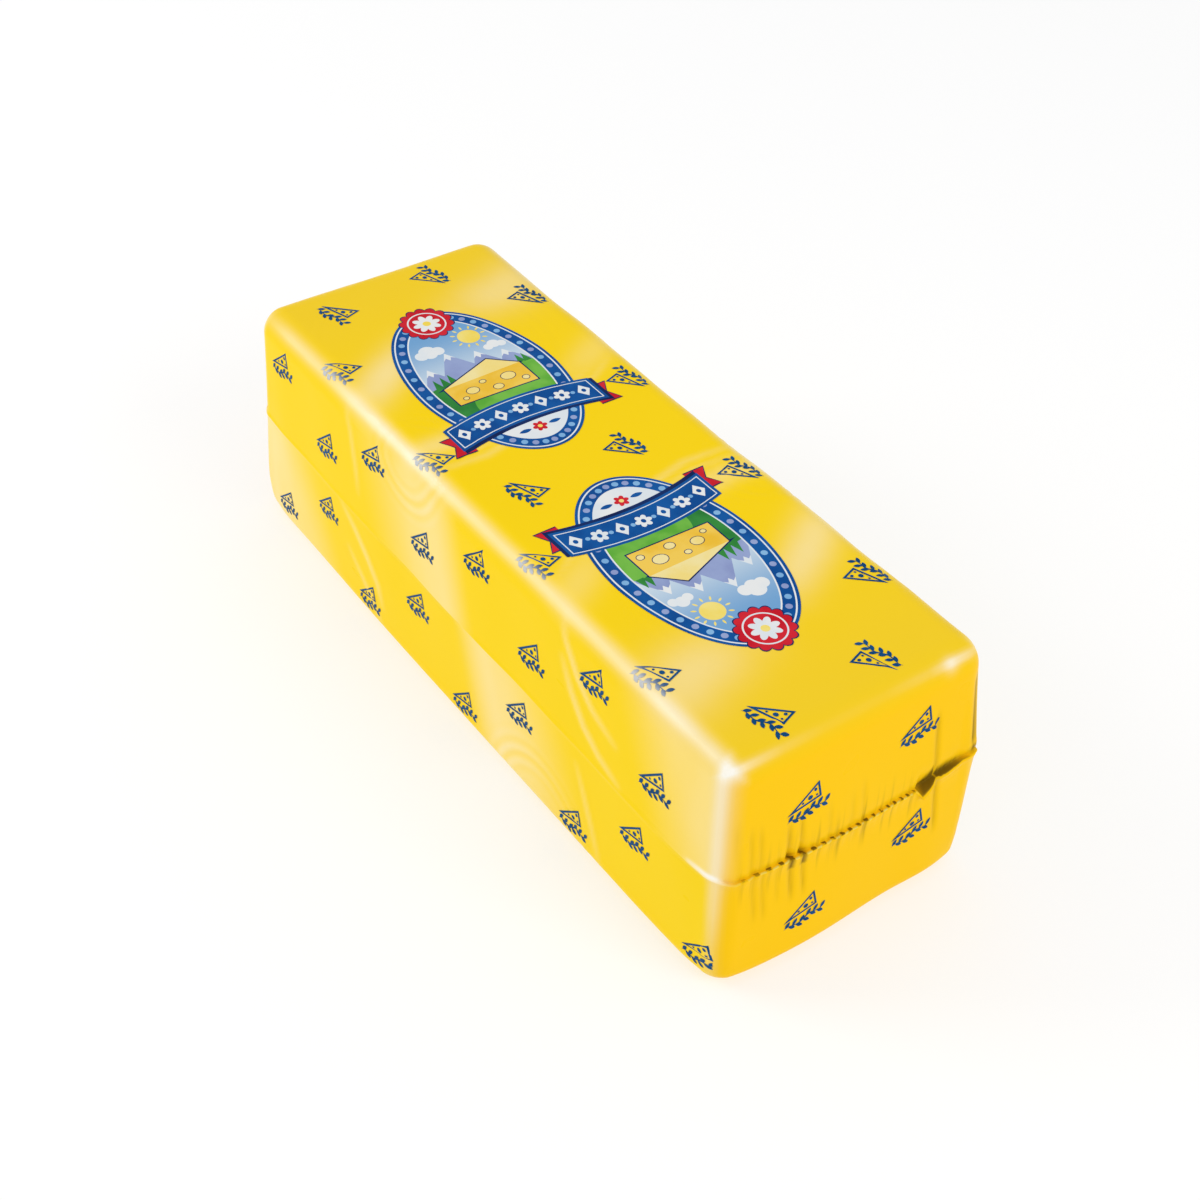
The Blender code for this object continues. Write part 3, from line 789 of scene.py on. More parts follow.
# Painted shadow darkens the gaps between the teeth, the two gashes and the mouth, and a painted highlight
# lightens the teeth's lips
RAGGED_GRAIN = (520, 2)
RAGGED_SHARE = 3.2
GAP_AT, GAP_FADE, GAP_TEETH = 0.8, (0.85, 0.4), (0.2, 0.8)
SLIT_AT, SLIT_FADE, SLIT_SHARE = 0.5, (0.5, 0.15), 0.3
LIP_AT, LIP_FADE, LIP_TEETH, LIP_SHARE = 0.4, (0.6, 0.15), (0.1, -0.5), 0.75
MOUTH_ENDS, MOUTH_FOOT, MOUTH_FADE = (0.4, 2.0), (0.3, 0.7), (0, 3.9)
DARKEST = 0.9
teeth = calc(paint, "SINE", calc(paint, "MULTIPLY", stored(paint, "tooth_turns"), 2 * np.pi))
ragged = calc(paint, "MULTIPLY_ADD", noise(paint, *RAGGED_GRAIN), RAGGED_SHARE,
              calc(paint, "SUBTRACT", teeth, RAGGED_SHARE / 2))
fleck_shadow = all_of(paint, close_to(paint, over, GAP_AT, GAP_FADE), ramp(paint, ragged, *GAP_TEETH))
slit_shadow = all_of(paint, close_to(paint, over, SLIT_AT, SLIT_FADE), SLIT_SHARE)
fleck_shadow = all_of(paint, seam, any_of(paint, fleck_shadow, slit_shadow))
# Painted highlight on the pale lips of the pinked teeth
lip_highlight = all_of(paint, close_to(paint, over, LIP_AT, LIP_FADE), ramp(paint, ragged, *LIP_TEETH))
lip_highlight = all_of(paint, lip_highlight, LIP_SHARE, seam, on_end)
yellow = colour_mix(paint, lip_highlight, yellow, LIP_HIGHLIGHT_YELLOW)
mouth_roof = ramp(paint, calc(paint, "SUBTRACT", mouth_top, over), *MOUTH_FADE)
mouth_shadow = all_of(paint, ramp(paint, mouth_top, *MOUTH_ENDS), ramp(paint, over, *MOUTH_FOOT), mouth_roof)
gap_shadow = all_of(paint, on_end, any_of(paint, fleck_shadow, mouth_shadow, stored(paint, "gash_shadow")), DARKEST)
yellow = colour_mix(paint, any_of(paint, gap_shadow, shade), yellow, GAP_SHADOW_BROWN)
glossy(film_paint, yellow, FILM_FINISH)
film_shader = paint.nodes["Principled BSDF"]
# Where the painted sheen lies, the film also has a clear coat
paint.links.new(calc(paint, "MULTIPLY", painted_sheen, COAT_SHARE), film_shader.inputs["Coat Weight"])
film_shader.inputs["Coat Roughness"].default_value = COAT_ROUGHNESS

# The print. Flat fields of ink, laid on the film where the bag's artwork has them. Each print is
# drawn flat in millimetres and wrapped on the film by its map, a hair above it.
PRINT_LIFT = 0.12 * MM
# Colour of each ink, and the tone that it drifts to where the press lays it thinner
INKS = {
    "deep_blue": ((10, 78, 152), (18, 92, 168)),
    "mark_blue": ((8, 72, 124), (20, 84, 136)),
    "navy": ((16, 34, 84), (22, 48, 104)),
    "white": ((244, 246, 246), (232, 240, 246)),
    "light_blue": ((128, 180, 228), (142, 192, 234)),
    "lilac": ((146, 160, 208), (158, 174, 218)),
    "sky": ((120, 172, 220), (226, 239, 247)),
    "sun": ((255, 226, 92), (255, 236, 140)),
    "meadow": ((96, 178, 60), (124, 196, 78)),
    "forest": ((44, 128, 58), (58, 146, 66)),
    "cheese_cut": ((250, 200, 60), (255, 214, 92)),
    "cheese_top": ((255, 230, 138), (255, 238, 170)),
    "red": ((206, 26, 44), (222, 42, 56)),
    "dark_red": ((140, 16, 34), (158, 24, 42)),
}
INK_LEVEL = 0.86
INK_CLOUDS = (90, 3)
INK_SHOW = (0.35, 0.65)
GLARE_SHARE = 0.6
SKY_FADE = (36, -6)


def pressed(tone):
    """An ink's tone, 0 to 255, as the shaders take it once it is pressed on the film."""
    share = np.array(tone) / 255
    light = np.where(share <= 0.04045, share / 12.92, ((share + 0.055) / 1.055) ** 2.4)
    return (*(INK_LEVEL * light).tolist(), 1)


inks = {}
for ink_name, (strong, thin) in INKS.items():
    ink = bpy.data.materials.new("ink_" + ink_name)
    ink.use_nodes = True
    tree = ink.node_tree
    if ink_name == "sky":
        height_on_print = add_node(tree, "ShaderNodeSeparateXYZ", {
            "Vector": add_node(tree, "ShaderNodeAttribute", attribute_name="print_at").outputs["Vector"]})
        share = ramp(tree, height_on_print.outputs["Y"], *SKY_FADE)
    else:
        share = ramp(tree, noise(tree, *INK_CLOUDS), *INK_SHOW)
    colour = colour_mix(tree, share, pressed(strong), pressed(thin))
    # Painted highlight: where the lamps' shine lies on the long edges, white is mixed into the ink
    shine = calc(tree, "MULTIPLY", stored(tree, "glare"), GLARE_SHARE)
    glossy(ink, colour_mix(tree, shine, colour, PAINTED_SHEEN_WHITE), INK_FINISH)
    inks[ink_name] = ink


def ring(middle, radii, count):
    """Points round an ellipse, which is given by its two radii, or round a circle, by its one."""
    angles = np.radians(np.linspace(0, 360, count, endpoint=False))
    return np.array(middle) + np.array(radii) * np.column_stack((np.cos(angles), np.sin(angles)))


def flat_print(name, fields, pitch):
    """One flat mesh, in mm, of fields of ink on each other: (ink, outline, field that it is cut by)."""
    outlines = [np.asarray(outline, dtype=float) for _, outline, _ in fields]
    low = np.min([outline.min(axis=0) for outline in outlines], axis=0)
    high = np.max([outline.max(axis=0) for outline in outlines], axis=0)
    grid = np.meshgrid(*(np.arange(low[axis] + pitch / 2, high[axis], pitch) for axis in (0, 1)))
    places = [Vector(place) for outline in outlines for place in outline]
    places += [Vector(place) for place in np.column_stack([line.ravel() for line in grid])]
    starts = np.cumsum([0] + [len(outline) for outline in outlines])
    rings = [list(range(start, end)) for start, end in zip(starts, starts[1:])]
    points, _, faces, _, _, covers = geometry.delaunay_2d_cdt(places, [], rings, 1, 1e-6)
    kept, face_inks = [], []
    for face, cover in zip(faces, covers):
        shown = [index for index in cover if fields[index][2] is None or fields[index][2] in cover]
        if shown and fields[max(shown)][0] is not None:
            kept.append(face)
            face_inks.append(list(INKS).index(fields[max(shown)][0]))
    mesh = bpy.data.meshes.new(name)
    mesh.from_pydata([(*point, 0) for point in points], [], kept)
    mesh.attributes.new("ink", "INT", "FACE").data.foreach_set("value", face_inks)
    mesh.attributes.new("print_at", "FLOAT_VECTOR", "POINT").data.foreach_set(
        "vector", np.array([(*point, 0) for point in points], dtype=np.float32).ravel())
    bm = bmesh.new()
    bm.from_mesh(mesh)
    bmesh.ops.delete(bm, geom=[vert for vert in bm.verts if not vert.link_faces], context="VERTS")
    bm.to_mesh(mesh)
    bm.free()
    return mesh


# Wraps flat geometry, whose x and y are metres on the film's map, on the film itself. Each point
# takes the film's place, with a small lift, and keeps its outward direction and its glare.
ON_FILM = (
    ("Film", "NodeSocketObject"),
    ("Map Side", "NodeSocketFloat"),
    ("Lift", "NodeSocketFloat"),
)
lay_on_film, lay_in, lay_out = new_tree("lay_on_film", (("Geometry", "NodeSocketGeometry"), *ON_FILM))


def known(tree, name, kind):
    """A value that the geometry keeps under this name."""
    return add_node(tree, "GeometryNodeInputNamedAttribute", {"Name": name}, data_type=kind).outputs[0]


skin = add_node(lay_on_film, "GeometryNodeObjectInfo", {"Object": lay_in.outputs["Film"]})
film_map = known(lay_on_film, "film_map", "FLOAT_VECTOR")
place = lay_on_film.nodes.new("GeometryNodeInputPosition").outputs[0]
outward = lay_on_film.nodes.new("GeometryNodeInputNormal").outputs[0]
side = add_node(lay_on_film, "ShaderNodeCombineXYZ", {axis: lay_in.outputs["Map Side"] for axis in "XYZ"})
on_square = add_node(lay_on_film, "ShaderNodeVectorMath", {0: place, 1: side.outputs[0]}, operation="DIVIDE")


def from_film(field, kind):
    """What the film has where the print's point lies on its map."""
    return add_node(lay_on_film, "GeometryNodeSampleUVSurface", {
        "Mesh": skin.outputs["Geometry"],
        "Value": field,
        "Source UV Map": film_map,
        "Sample UV": on_square.outputs["Vector"],
    }, data_type=kind).outputs["Value"]


def keeping(flat, name, value, kind):
    """The flat geometry with a value of each point kept under a name."""
    return add_node(lay_on_film, "GeometryNodeStoreNamedAttribute", {
        "Geometry": flat, "Name": name, "Value": value}, data_type=kind, domain="POINT").outputs[0]


film_place, film_normal = from_film(place, "FLOAT_VECTOR"), from_film(outward, "FLOAT_VECTOR")
lifted = add_node(lay_on_film, "ShaderNodeVectorMath", {
    0: film_normal, "Scale": lay_in.outputs["Lift"]}, operation="SCALE")
raised = add_node(lay_on_film, "ShaderNodeVectorMath", {
    0: film_place, 1: lifted.outputs[0]}, operation="ADD")
facing = keeping(lay_in.outputs["Geometry"], "film_normal", film_normal, "FLOAT_VECTOR")
shining = keeping(facing, "glare", from_film(known(lay_on_film, "glare", "FLOAT"), "FLOAT"), "FLOAT")
wrapped = add_node(lay_on_film, "GeometryNodeSetPosition", {
    "Geometry": shining, "Position": raised.outputs["Vector"]})
lay_on_film.links.new(wrapped.outputs["Geometry"], lay_out.inputs["Geometry"])


def laid_on_film(tree, inputs, flat):
    """Flat geometry of another tree, wrapped on the film."""
    given = {label: inputs.outputs[label] for label, _ in ON_FILM}
    return add_node(tree, "GeometryNodeGroup", {"Geometry": flat, **given},
                    node_tree=lay_on_film).outputs["Geometry"]


def face_as_film(mesh):
    """Shades a print as the film that it lies on."""
    layer = mesh.attributes["film_normal"]
    normals = np.empty(3 * len(mesh.vertices))
    layer.data.foreach_get("vector", normals)
    mesh.attributes.remove(layer)
    mesh.shade_smooth()
    mesh.normals_split_custom_set_from_vertices(normals.reshape(-1, 3))


# The small marks. A wedge of cheese over a leafy sprig, in one blue ink, is strewn in rows over the
# whole film, tilted, and turned about on the rows that belong to the back. (In millimetres.)
WEDGE = ((-6.0, 0.4), (5.4, 0.4), (5.4, 6.2))
WEDGE_LINE = 0.75
MARK_HOLES = (((1.6, 2.1), (0.95, 0.85)), ((3.9, 4.0), (0.6, 0.65)), ((-1.3, 1.6), (0.45, 0.4)),
              ((4.1, 1.6), (0.45, 0.4)))
SPRIG_HALF = 7.8
SPRIG_UP = -2.9
SPRIG_WAVE = 0.6
SPRIG_WAVE_LONG = 1.1
STEM_HALF = 0.3
LEAVES = 11
LEAVES_REACH = (-0.94, 0.86)
LEAF = (3.0, 0.72)
LEAF_LEAN = 42
MARK_PITCH = 0.7


def leaf(foot, length, half, angle):
    """A pointed leaf that grows from its foot."""
    along = np.linspace(0, 1, 7)
    swell = half * np.sin(np.pi * along) ** 0.8
    shape = np.concatenate((np.column_stack((along * length, -swell)),
                            np.column_stack((along * length, swell))[-2:0:-1]))
    turn = np.radians(angle)
    spin = np.array(((np.cos(turn), np.sin(turn)), (-np.sin(turn), np.cos(turn))))
    return np.array(foot) + shape @ spin


def stem(u):
    """Height of the sprig's wavy stem."""
    return SPRIG_UP + SPRIG_WAVE * np.sin(2 * np.pi * u / SPRIG_HALF / SPRIG_WAVE_LONG)


def sprig():
    """Outlines of the stem and of the leaves that it has to both sides."""
    u = np.linspace(-SPRIG_HALF, SPRIG_HALF, 33)
    taper = STEM_HALF * (1.15 - np.abs(u) / SPRIG_HALF)
    outlines = [np.concatenate((np.column_stack((u, stem(u) - taper)),
                                np.column_stack((u, stem(u) + taper))[::-1]))]
    first, last = LEAVES_REACH
    for number, place in enumerate(np.linspace(first * SPRIG_HALF, last * SPRIG_HALF, LEAVES)):
        lean = (-1) ** number * LEAF_LEAN
        outlines.append(leaf((place, stem(place)), *LEAF, lean))
    return outlines


def shrunk(outline, by):
    """A convex outline with each side moved in by a distance."""
    outline = np.asarray(outline, dtype=float)
    before = outline - np.roll(outline, 1, axis=0)
    after = np.roll(outline, -1, axis=0) - outline
    before /= np.linalg.norm(before, axis=1, keepdims=True)
    after /= np.linalg.norm(after, axis=1, keepdims=True)
    bend = before[:, 0] * after[:, 1] - before[:, 1] * after[:, 0]
    return outline + by * (after - before) / bend[:, None]


mark_fields = [("mark_blue", shrunk(WEDGE, -WEDGE_LINE / 2), None),
               (None, shrunk(WEDGE, WEDGE_LINE / 2), None)]
mark_fields += [("mark_blue", ring(middle, radii, 14), None) for middle, radii in MARK_HOLES]
mark_fields += [("mark_blue", outline, None) for outline in sprig()]
mark_mesh = flat_print("mark", mark_fields, MARK_PITCH)
mark_mesh.transform(Matrix.Scale(MM, 4))
mark = add_piece("mark", mark_mesh)

# Panel, first place along it and up or across it, pitch and number along the row, tilt in degrees
MARK_ROWS = (
    ("top", (-127.1, -28.0), 131.3, 3, 19),
    ("top", (-93.8, -45.6), 65.3, 4, 19),
    ("top", (-98.0, 41.0), 66.7, 4, 199),
    ("top", (-129.9, 16.0), 132.2, 3, 199),
    ("front", (-127.5, 81.3), 69.5, 4, 14),
    ("front", (-92.2, 65.8), 69.1, 4, 14),
    ("front", (-92.9, 35.6), 66.6, 4, 14),
    ("front", (-129.4, 12.7), 67.5, 5, 14),
    ("back", (-134.5, 81.3), 69.5, 4, 194),
    ("back", (-115.1, 65.8), 69.1, 4, 194),
    ("back", (-106.9, 35.6), 66.6, 4, 194),
    ("back", (-140.6, 12.7), 67.5, 5, 194),
    ("base", (-124.0, -34.0), 66.5, 4, 17),
    ("base", (-92.0, -10.0), 66.5, 4, 17),
    ("base", (-124.0, 14.0), 66.5, 4, 197),
    ("base", (-92.0, 36.0), 66.5, 4, 197),
)
END_MARKS = ((-21.7, 68.7), (23.0, 75.6), (-20.4, 21.2), (24.0, 31.2))
END_TILT = 11


def map_places(panel, places):
    """Map places, in metres, of places given in millimetres along a panel and up or across it."""
    first, second = MM * np.array(places, dtype=float).T
    edge = np.zeros_like(first)
    if panel in ("top", "base"):
        return on_map(panel, first, second, edge)
    if panel in ("front", "back"):
        return on_map(panel, first, edge, second - HEIGHT / 2)
    return on_map(panel, edge, first, second - HEIGHT / 2)


mark_places, mark_turns = [], []
for panel, (first, second), pitch, count, tilt in MARK_ROWS:
    row = [(first + pitch * number, second) for number in range(count)]
    mark_places.append(map_places(panel, row))
    mark_turns += [tilt] * count
for panel, side in (("near", 1), ("far", -1)):
    mark_places.append(map_places(panel, [(side * across, height) for across, height in END_MARKS]))
    mark_turns += [END_TILT] * len(END_MARKS)
places_mesh = bpy.data.meshes.new("mark_places")
places_mesh.from_pydata([(*place, 0) for place in np.concatenate(mark_places)], [], [])
places_mesh.attributes.new("turn", "FLOAT", "POINT").data.foreach_set("value", np.radians(mark_turns))

mark_tree, mark_in, mark_out = new_tree("strewn_marks", (
    ("Geometry", "NodeSocketGeometry"),
    ("Mark", "NodeSocketObject"),
    *ON_FILM,
    ("Ink", "NodeSocketMaterial"),
))
one_mark = add_node(mark_tree, "GeometryNodeObjectInfo", {"Object": mark_in.outputs["Mark"]})
tilt = add_node(mark_tree, "FunctionNodeAxisAngleToRotation", {
    "Axis": (0, 0, 1), "Angle": known(mark_tree, "turn", "FLOAT")})
strewn = add_node(mark_tree, "GeometryNodeInstanceOnPoints", {
    "Points": mark_in.outputs["Geometry"],
    "Instance": one_mark.outputs["Geometry"],
    "Rotation": tilt.outputs["Rotation"],
})
single = add_node(mark_tree, "GeometryNodeRealizeInstances", {"Geometry": strewn.outputs["Instances"]})
inked = add_node(mark_tree, "GeometryNodeSetMaterial", {
    "Geometry": laid_on_film(mark_tree, mark_in, single.outputs["Geometry"]),
    "Material": mark_in.outputs["Ink"],
})
mark_tree.links.new(inked.outputs["Geometry"], mark_out.inputs["Geometry"])

marks = add_piece("film_marks", places_mesh)
marks.data = made_mesh(marks, mark_tree, {
    "Mark": mark,
    "Film": film,
    "Map Side": MAP_SIDE,
    "Lift": PRINT_LIFT,
    "Ink": inks["mark_blue"],
}, "film_marks")
face_as_film(marks.data)
bpy.data.objects.remove(mark, do_unlink=True)
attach(marks, "root")

# The two labels. A tall oval picture of an alp with a wedge of cheese, a blue ribbon and a red
# rosette, printed twice on the top, head outwards each time. (In millimetres.)
OVAL = (28.0, 49.0)
OVAL_BANDS = (("white", 1.1), ("deep_blue", 1.7), ("white", 6.2), ("sky", 6.8))
OUTLINE = 0.5
BEADS = 44
BEAD_INKS = ("light_blue", "lilac")
BEAD_RADIUS = 1.25
BEAD_INSET = 4.0
SUN_AT, SUN_RADIUS = (9.0, 26.5), 4.4
SUN_RAYS = 12
RAY_GAP, RAY_LONG, RAY_HALF = 0.6, 2.2, 0.4
CLOUDS = (
    ((-13.0, 24.0), 2.6), ((-9.6, 25.6), 3.4), ((-6.0, 24.2), 2.6), ((-9.6, 23.6), 2.8),
    ((11.6, 16.8), 1.9), ((14.4, 17.8), 2.5), ((17.2, 16.6), 1.9),
)
PEAKS = ((-16.0, 15.5), (-5.0, 21.5), (5.6, 17.4), (15.0, 13.0))
PEAK_SPREAD = 1.15
PEAK_FOOT = -4.0
SNOW = 4.4
# Lower edge of a peak's snow, as shares of its half width and its height
SNOW_EDGE = ((-1, 1), (-0.4, 0.72), (0, 1.15), (0.45, 0.7), (1, 1))
HILLS = (("forest", (-12, -14), (27, 18)), ("meadow", (13, -17), (26, 19)))
FIRS = ((-17.6, 3.2), (-14.4, 3.7), (-11.2, 3.9), (16.8, 1.5), (19.2, 1.0))
FIR_HALF, FIR_TALL = 1.6, 5.6
CUT_TIP, CUT_BACK, CUT_FRONT = (-17.0, 1.6), (6.5, 10.4), (15.6, 1.8)
CUT_THICK = 13.0
CUT_TIP_SHARE = 0.9
CUT_LINE = 1.1
HOLE_LINE = 0.3
CUT_HOLES = (((-8.4, -4.4), (2.4, 2.0)), ((0.8, -7.4), (1.9, 1.6)), ((7.4, -3.4), (2.8, 2.3)),
             ((-2.4, -1.4), (1.2, 1.0)), ((12.4, -7.8), (1.3, 1.2)), ((-13.0, -7.4), (1.0, 0.9)))
RIBBON_HALF = (31.0, 7.2)
RIBBON_AT, RIBBON_ARCH = -27.5, 4.5
RIBBON_SHADOW = (0.8, -1.0)
RIBBON_PIN = (1.2, 1.6)
RIBBON_CENTRED = 5.5
TAIL = ((26.5, 35.0), (5.4, 3.4), 3.0)
STARS = 7
STAR_FLOWER, STAR_DIAMOND, STAR_HEART, STAR_DOT = (3.3, 6), (2.6, 3.7), (0.9, 1.1), 0.9
ROSETTE_AT, ROSETTE_RADIUS, SCALLOPS = (0.0, 42.0), 8.8, 14
SCALLOP_DEPTH = 1.5
ROSETTE_RINGS = (("white", 7.5), ("red", 6.9))
ROSETTE_FLOWER, ROSETTE_HEART = (5.6, 8), 1.6
PALE_FOOT = ((0, -42), (28, 24))
FOOT_FLOWER = (0.0, -35.8)
FOOT_PETALS, FOOT_HEART = (2.9, 6), 0.9
FOOT_LEAF_AT, FOOT_LEAF = 3.6, (5.2, 1.0)
FLOWER_WAIST = 0.62
LABEL_PITCH = 0.9


def oval(inset, count=120):
    """The label's oval, moved in from its rim."""
    return ring((0, 0), (OVAL[0] - inset, OVAL[1] - inset), count)


def arched(u, v):
    """Points beside the ribbon's arched middle line."""
    u = np.asarray(u, dtype=float)
    rise = RIBBON_AT + RIBBON_ARCH * (1 - (u / RIBBON_HALF[0]) ** 2)
    return np.column_stack((u, rise + v))


def ribbon(half_long, half_high, shift=(0, 0)):
    """The ribbon's band, from end to end."""
    u = np.linspace(-half_long, half_long, 29)
    return np.concatenate((arched(u, -half_high), arched(u[::-1], half_high))) + np.array(shift)


def tail(side, grow):
    """The swallowtail end that hangs out behind the ribbon."""
    (inner, outer), (half, drop), notch = TAIL
    middle = RIBBON_AT - drop
    corners = ((inner, middle - half - grow), (outer + grow, middle - half - grow),
               (outer + grow - notch, middle), (outer + grow, middle + half + grow),
               (inner, middle + half + grow))
    return np.array(corners[::side]) * (side, 1)


def scalloped(radius):
    """The rosette's rim of round scallops."""
    angles = np.linspace(0, 2 * np.pi, 10 * SCALLOPS, endpoint=False)
    reach = radius + SCALLOP_DEPTH * np.abs(np.cos(SCALLOPS * angles / 2)) ** 0.8
    return np.array(ROSETTE_AT) + np.column_stack((reach * np.cos(angles), reach * np.sin(angles)))


def flower(middle, reach, petals):
    """A flower with round petals."""
    angles = np.linspace(0, 2 * np.pi, 10 * petals, endpoint=False)
    size = reach * (FLOWER_WAIST + (1 - FLOWER_WAIST) * np.abs(np.cos(petals * angles / 2)))
    return np.array(middle) + np.column_stack((size * np.cos(angles), size * np.sin(angles)))


label_fields = []


def lay(ink, outline, cut_by=None):
    """Lays one more field of ink on the label, and cuts it by an earlier one where one is given."""
    label_fields.append((ink, outline, cut_by))


for side in (-1, 1):
    lay("navy", tail(side, OUTLINE))
    lay("red", tail(side, 0))
lay("deep_blue", oval(0))
for ink, inset in OVAL_BANDS:
    lay(ink, oval(inset))
picture = len(label_fields) - 1
for number, place in enumerate(oval(BEAD_INSET, BEADS)):
    lay(BEAD_INKS[number % 2], ring(place, BEAD_RADIUS, 12))

# The picture in the oval: sun and clouds, snowy peaks, hills with firs, and the cut wedge
for number, foot in enumerate(ring(SUN_AT, SUN_RADIUS + RAY_GAP, SUN_RAYS)):
    lay("sun", leaf(foot, RAY_LONG, RAY_HALF, 360 * number / SUN_RAYS), picture)
lay("sun", ring(SUN_AT, SUN_RADIUS, 32), picture)
for middle, size in CLOUDS:
    lay("white", ring(middle, size, 20), picture)
for u, v in PEAKS:
    half = PEAK_SPREAD * (v - PEAK_FOOT) / 2
    lay("lilac", ((u - half, PEAK_FOOT), (u + half, PEAK_FOOT), (u, v)), picture)
    cap = PEAK_SPREAD * SNOW / 2
    lay("white", [(u, v)] + [(u + cap * share, v - SNOW * drop) for share, drop in SNOW_EDGE], picture)
for ink, middle, radii in HILLS:
    lay(ink, ring(middle, radii, 72), picture)
for u, v in FIRS:
    lay("forest", ((u - FIR_HALF, v), (u + FIR_HALF, v), (u, v + FIR_TALL)), picture)
cut_drop = np.array((0, -CUT_THICK))
cut_top = np.array((CUT_TIP, CUT_FRONT, CUT_BACK))
cut_side = np.array((CUT_TIP, CUT_TIP + CUT_TIP_SHARE * cut_drop, CUT_FRONT + cut_drop, CUT_FRONT))
for face in (cut_top, cut_side):
    lay("navy", shrunk(face, -CUT_LINE / 2), picture)
lay("cheese_top", cut_top, picture)
lay("cheese_cut", cut_side, picture)
for middle, radii in CUT_HOLES:
    lay("navy", ring(middle, np.array(radii) + HOLE_LINE, 20), picture)
    lay("cheese_top", ring(middle, radii, 20), picture)

# Below the ribbon: a pale foot with a flower between two leaves
lay("white", ring(*PALE_FOOT, 72), picture)
for side, angle in ((1, 0), (-1, 180)):
    foot = (FOOT_FLOWER[0] + side * FOOT_LEAF_AT, FOOT_FLOWER[1])
    lay("deep_blue", leaf(foot, *FOOT_LEAF, angle), picture)
lay("red", flower(FOOT_FLOWER, *FOOT_PETALS), picture)
lay("sun", ring(FOOT_FLOWER, FOOT_HEART, 14), picture)

# The ribbon with its pin line and its row of diamonds, flowers and dots
half_long, half_high = RIBBON_HALF
lay("navy", ribbon(half_long + OUTLINE, half_high + OUTLINE, RIBBON_SHADOW))
for ink, inset in (("deep_blue", 0), ("white", RIBBON_PIN[0]), ("deep_blue", RIBBON_PIN[1])):
    lay(ink, ribbon(half_long - inset, half_high - inset))
star_step = 2 * (half_long - RIBBON_CENTRED) / (STARS - 1)
for number in range(STARS):
    u = (number - (STARS - 1) / 2) * star_step
    middle = arched((u,), 0)[0]
    lay("white", flower(middle, *STAR_FLOWER) if number % 2 else ring(middle, STAR_DIAMOND, 4))
    lay("deep_blue", ring(middle, STAR_HEART, 12))
    if number:
        lay("light_blue", ring(arched((u - star_step / 2,), 0)[0], STAR_DOT, 12))

# The rosette over the top of the rim
lay("navy", scalloped(ROSETTE_RADIUS + OUTLINE))
lay("red", scalloped(ROSETTE_RADIUS))
for ink, radius in ROSETTE_RINGS:
    lay(ink, ring(ROSETTE_AT, radius, 48))
lay("white", flower(ROSETTE_AT, *ROSETTE_FLOWER))
lay("sun", ring(ROSETTE_AT, ROSETTE_HEART, 20))
label_mesh = flat_print("label", label_fields, LABEL_PITCH)

label_tree, label_in, label_out = new_tree("laid_label", (("Geometry", "NodeSocketGeometry"), *ON_FILM))
laid = laid_on_film(label_tree, label_in, label_in.outputs["Geometry"])
shown = add_node(label_tree, "GeometryNodeRealizeInstances", {"Geometry": laid})
which = known(label_tree, "ink", "INT")
for number, ink in enumerate(inks.values()):
    this_ink = add_node(label_tree, "FunctionNodeCompare", {
        2: which, 3: number}, data_type="INT", operation="EQUAL")
    shown = add_node(label_tree, "GeometryNodeSetMaterial", {
        "Geometry": shown.outputs["Geometry"],
        "Selection": this_ink.outputs["Result"],
        "Material": ink,
    })
label_tree.links.new(shown.outputs["Geometry"], label_out.inputs["Geometry"])

# Middle on the top, along and across, and how far the label is turned
LABELS = {"label_far": ((-60.2, -2.8), 90), "label_near": ((62.3, -3.7), -90)}
for label_name, (middle, turn) in LABELS.items():
    flat = label_mesh.copy()
    spot = Vector((*map_places("top", [middle])[0], 0))
    flat.transform(Matrix.Translation(spot) @ Matrix.Rotation(np.radians(turn), 4, "Z")
                   @ Matrix.Scale(MM, 4))
    label = add_piece(label_name, flat)
    label.data = made_mesh(label, label_tree, {
        "Film": film, "Map Side": MAP_SIDE, "Lift": PRINT_LIFT}, label_name)
    face_as_film(label.data)
    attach(label, "root")

# The pale studio. A wide white floor, an even white room and a few soft lamps, seen from above the
# near left corner as in the picture.
FLOOR_RADIUS = 4.0
FLOOR_GREY = 0.45
FLOOR_GLOW = 0.56
ROOM_LIGHT = 0.75
LAMP_DISTANCE = 1.5
LAMP_SIDE = 0.7
# Direction that each lamp stands in, and its power
LAMPS = {
    "key_lamp": ((-0.61, -0.66, 0.45), 6.6),
    "right_lamp": ((0.78, 0.2, 0.59), 5.2),
}
floor_mesh = bpy.data.meshes.new("floor")
bm = bmesh.new()
bmesh.ops.create_circle(bm, cap_ends=True, segments=96, radius=FLOOR_RADIUS)
bm.to_mesh(floor_mesh)
bm.free()
floor = add_piece("floor", floor_mesh)
floor_paint = bpy.data.materials.new("white_floor")
floor_paint.use_nodes = True
floor_shader = floor_paint.node_tree.nodes["Principled BSDF"]
floor_shader.inputs["Base Color"].default_value = (FLOOR_GREY, FLOOR_GREY, FLOOR_GREY, 1)
floor_shader.inputs["Emission Color"].default_value = (1, 1, 1, 1)
floor_shader.inputs["Emission Strength"].default_value = FLOOR_GLOW
floor_shader.inputs["Roughness"].default_value = 0.8
floor_shader.inputs["Specular IOR Level"].default_value = 0.1
floor_mesh.materials.append(floor_paint)

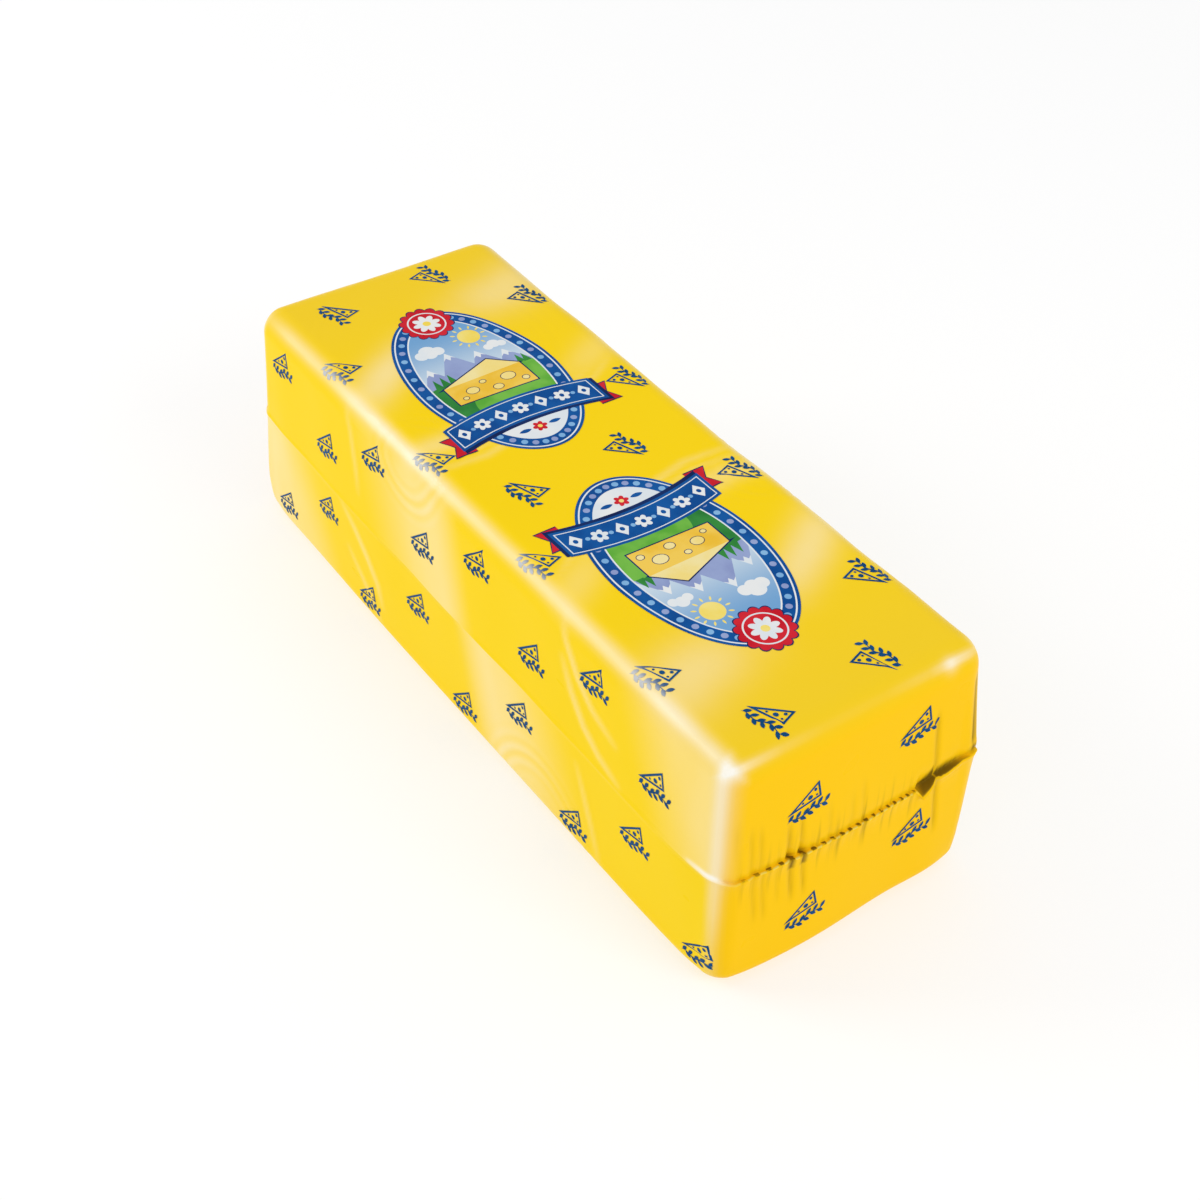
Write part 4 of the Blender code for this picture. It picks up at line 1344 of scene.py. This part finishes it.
world = bpy.data.worlds.new("white_room")
bpy.context.scene.world = world
world.use_nodes = True
room = world.node_tree.nodes["Background"]
room.inputs["Color"].default_value = (1, 1, 1, 1)
room.inputs["Strength"].default_value = ROOM_LIGHT

# Camera: direction it looks from, its roll, distance and the target's offset in the picture
CAMERA_AZIMUTH = np.radians(53.603)
CAMERA_ELEVATION = np.radians(40.923)
CAMERA_ROLL = np.radians(2.102)
CAMERA_OFFSET = (0.0783 * HEIGHT, 0.241 * HEIGHT, 7.466 * HEIGHT)
SENSOR = 36.0
FOCAL_PIXELS = 1899.6
PICTURE_PIXELS = 1200

back = Vector((np.sin(CAMERA_AZIMUTH) * np.cos(CAMERA_ELEVATION),
               -np.cos(CAMERA_AZIMUTH) * np.cos(CAMERA_ELEVATION),
               np.sin(CAMERA_ELEVATION)))
level = Vector((np.cos(CAMERA_AZIMUTH), np.sin(CAMERA_AZIMUTH), 0))
upright = back.cross(level)
right = np.cos(CAMERA_ROLL) * level + np.sin(CAMERA_ROLL) * upright
up = np.cos(CAMERA_ROLL) * upright - np.sin(CAMERA_ROLL) * level
axes = Matrix((right, up, back)).transposed()
camera_data = bpy.data.cameras.new("camera")
camera_data.sensor_width = SENSOR
camera_data.lens = FOCAL_PIXELS * SENSOR / PICTURE_PIXELS
camera = bpy.data.objects.new("camera", camera_data)
bpy.context.scene.collection.objects.link(camera)
camera.matrix_world = Matrix.Translation(axes @ Vector(CAMERA_OFFSET)) @ axes.to_4x4()
bpy.context.scene.camera = camera
bpy.context.scene.view_settings.view_transform = "Standard"


def add_softbox(name, towards, power):
    """A square soft lamp in the direction towards, facing the loaf."""
    lamp = bpy.data.lights.new(name, "AREA")
    lamp.shape = "RECTANGLE"
    lamp.size = lamp.size_y = LAMP_SIDE
    lamp.energy = power
    holder = bpy.data.objects.new(name, lamp)
    bpy.context.scene.collection.objects.link(holder)
    direction = Vector(towards).normalized()
    middle = Vector((0, 0, HEIGHT / 2))
    turn = direction.to_track_quat("Z", "Y").to_matrix().to_4x4()
    holder.matrix_world = Matrix.Translation(middle + LAMP_DISTANCE * direction) @ turn


for lamp_name, (towards, power) in LAMPS.items():
    add_softbox(lamp_name, towards, power)
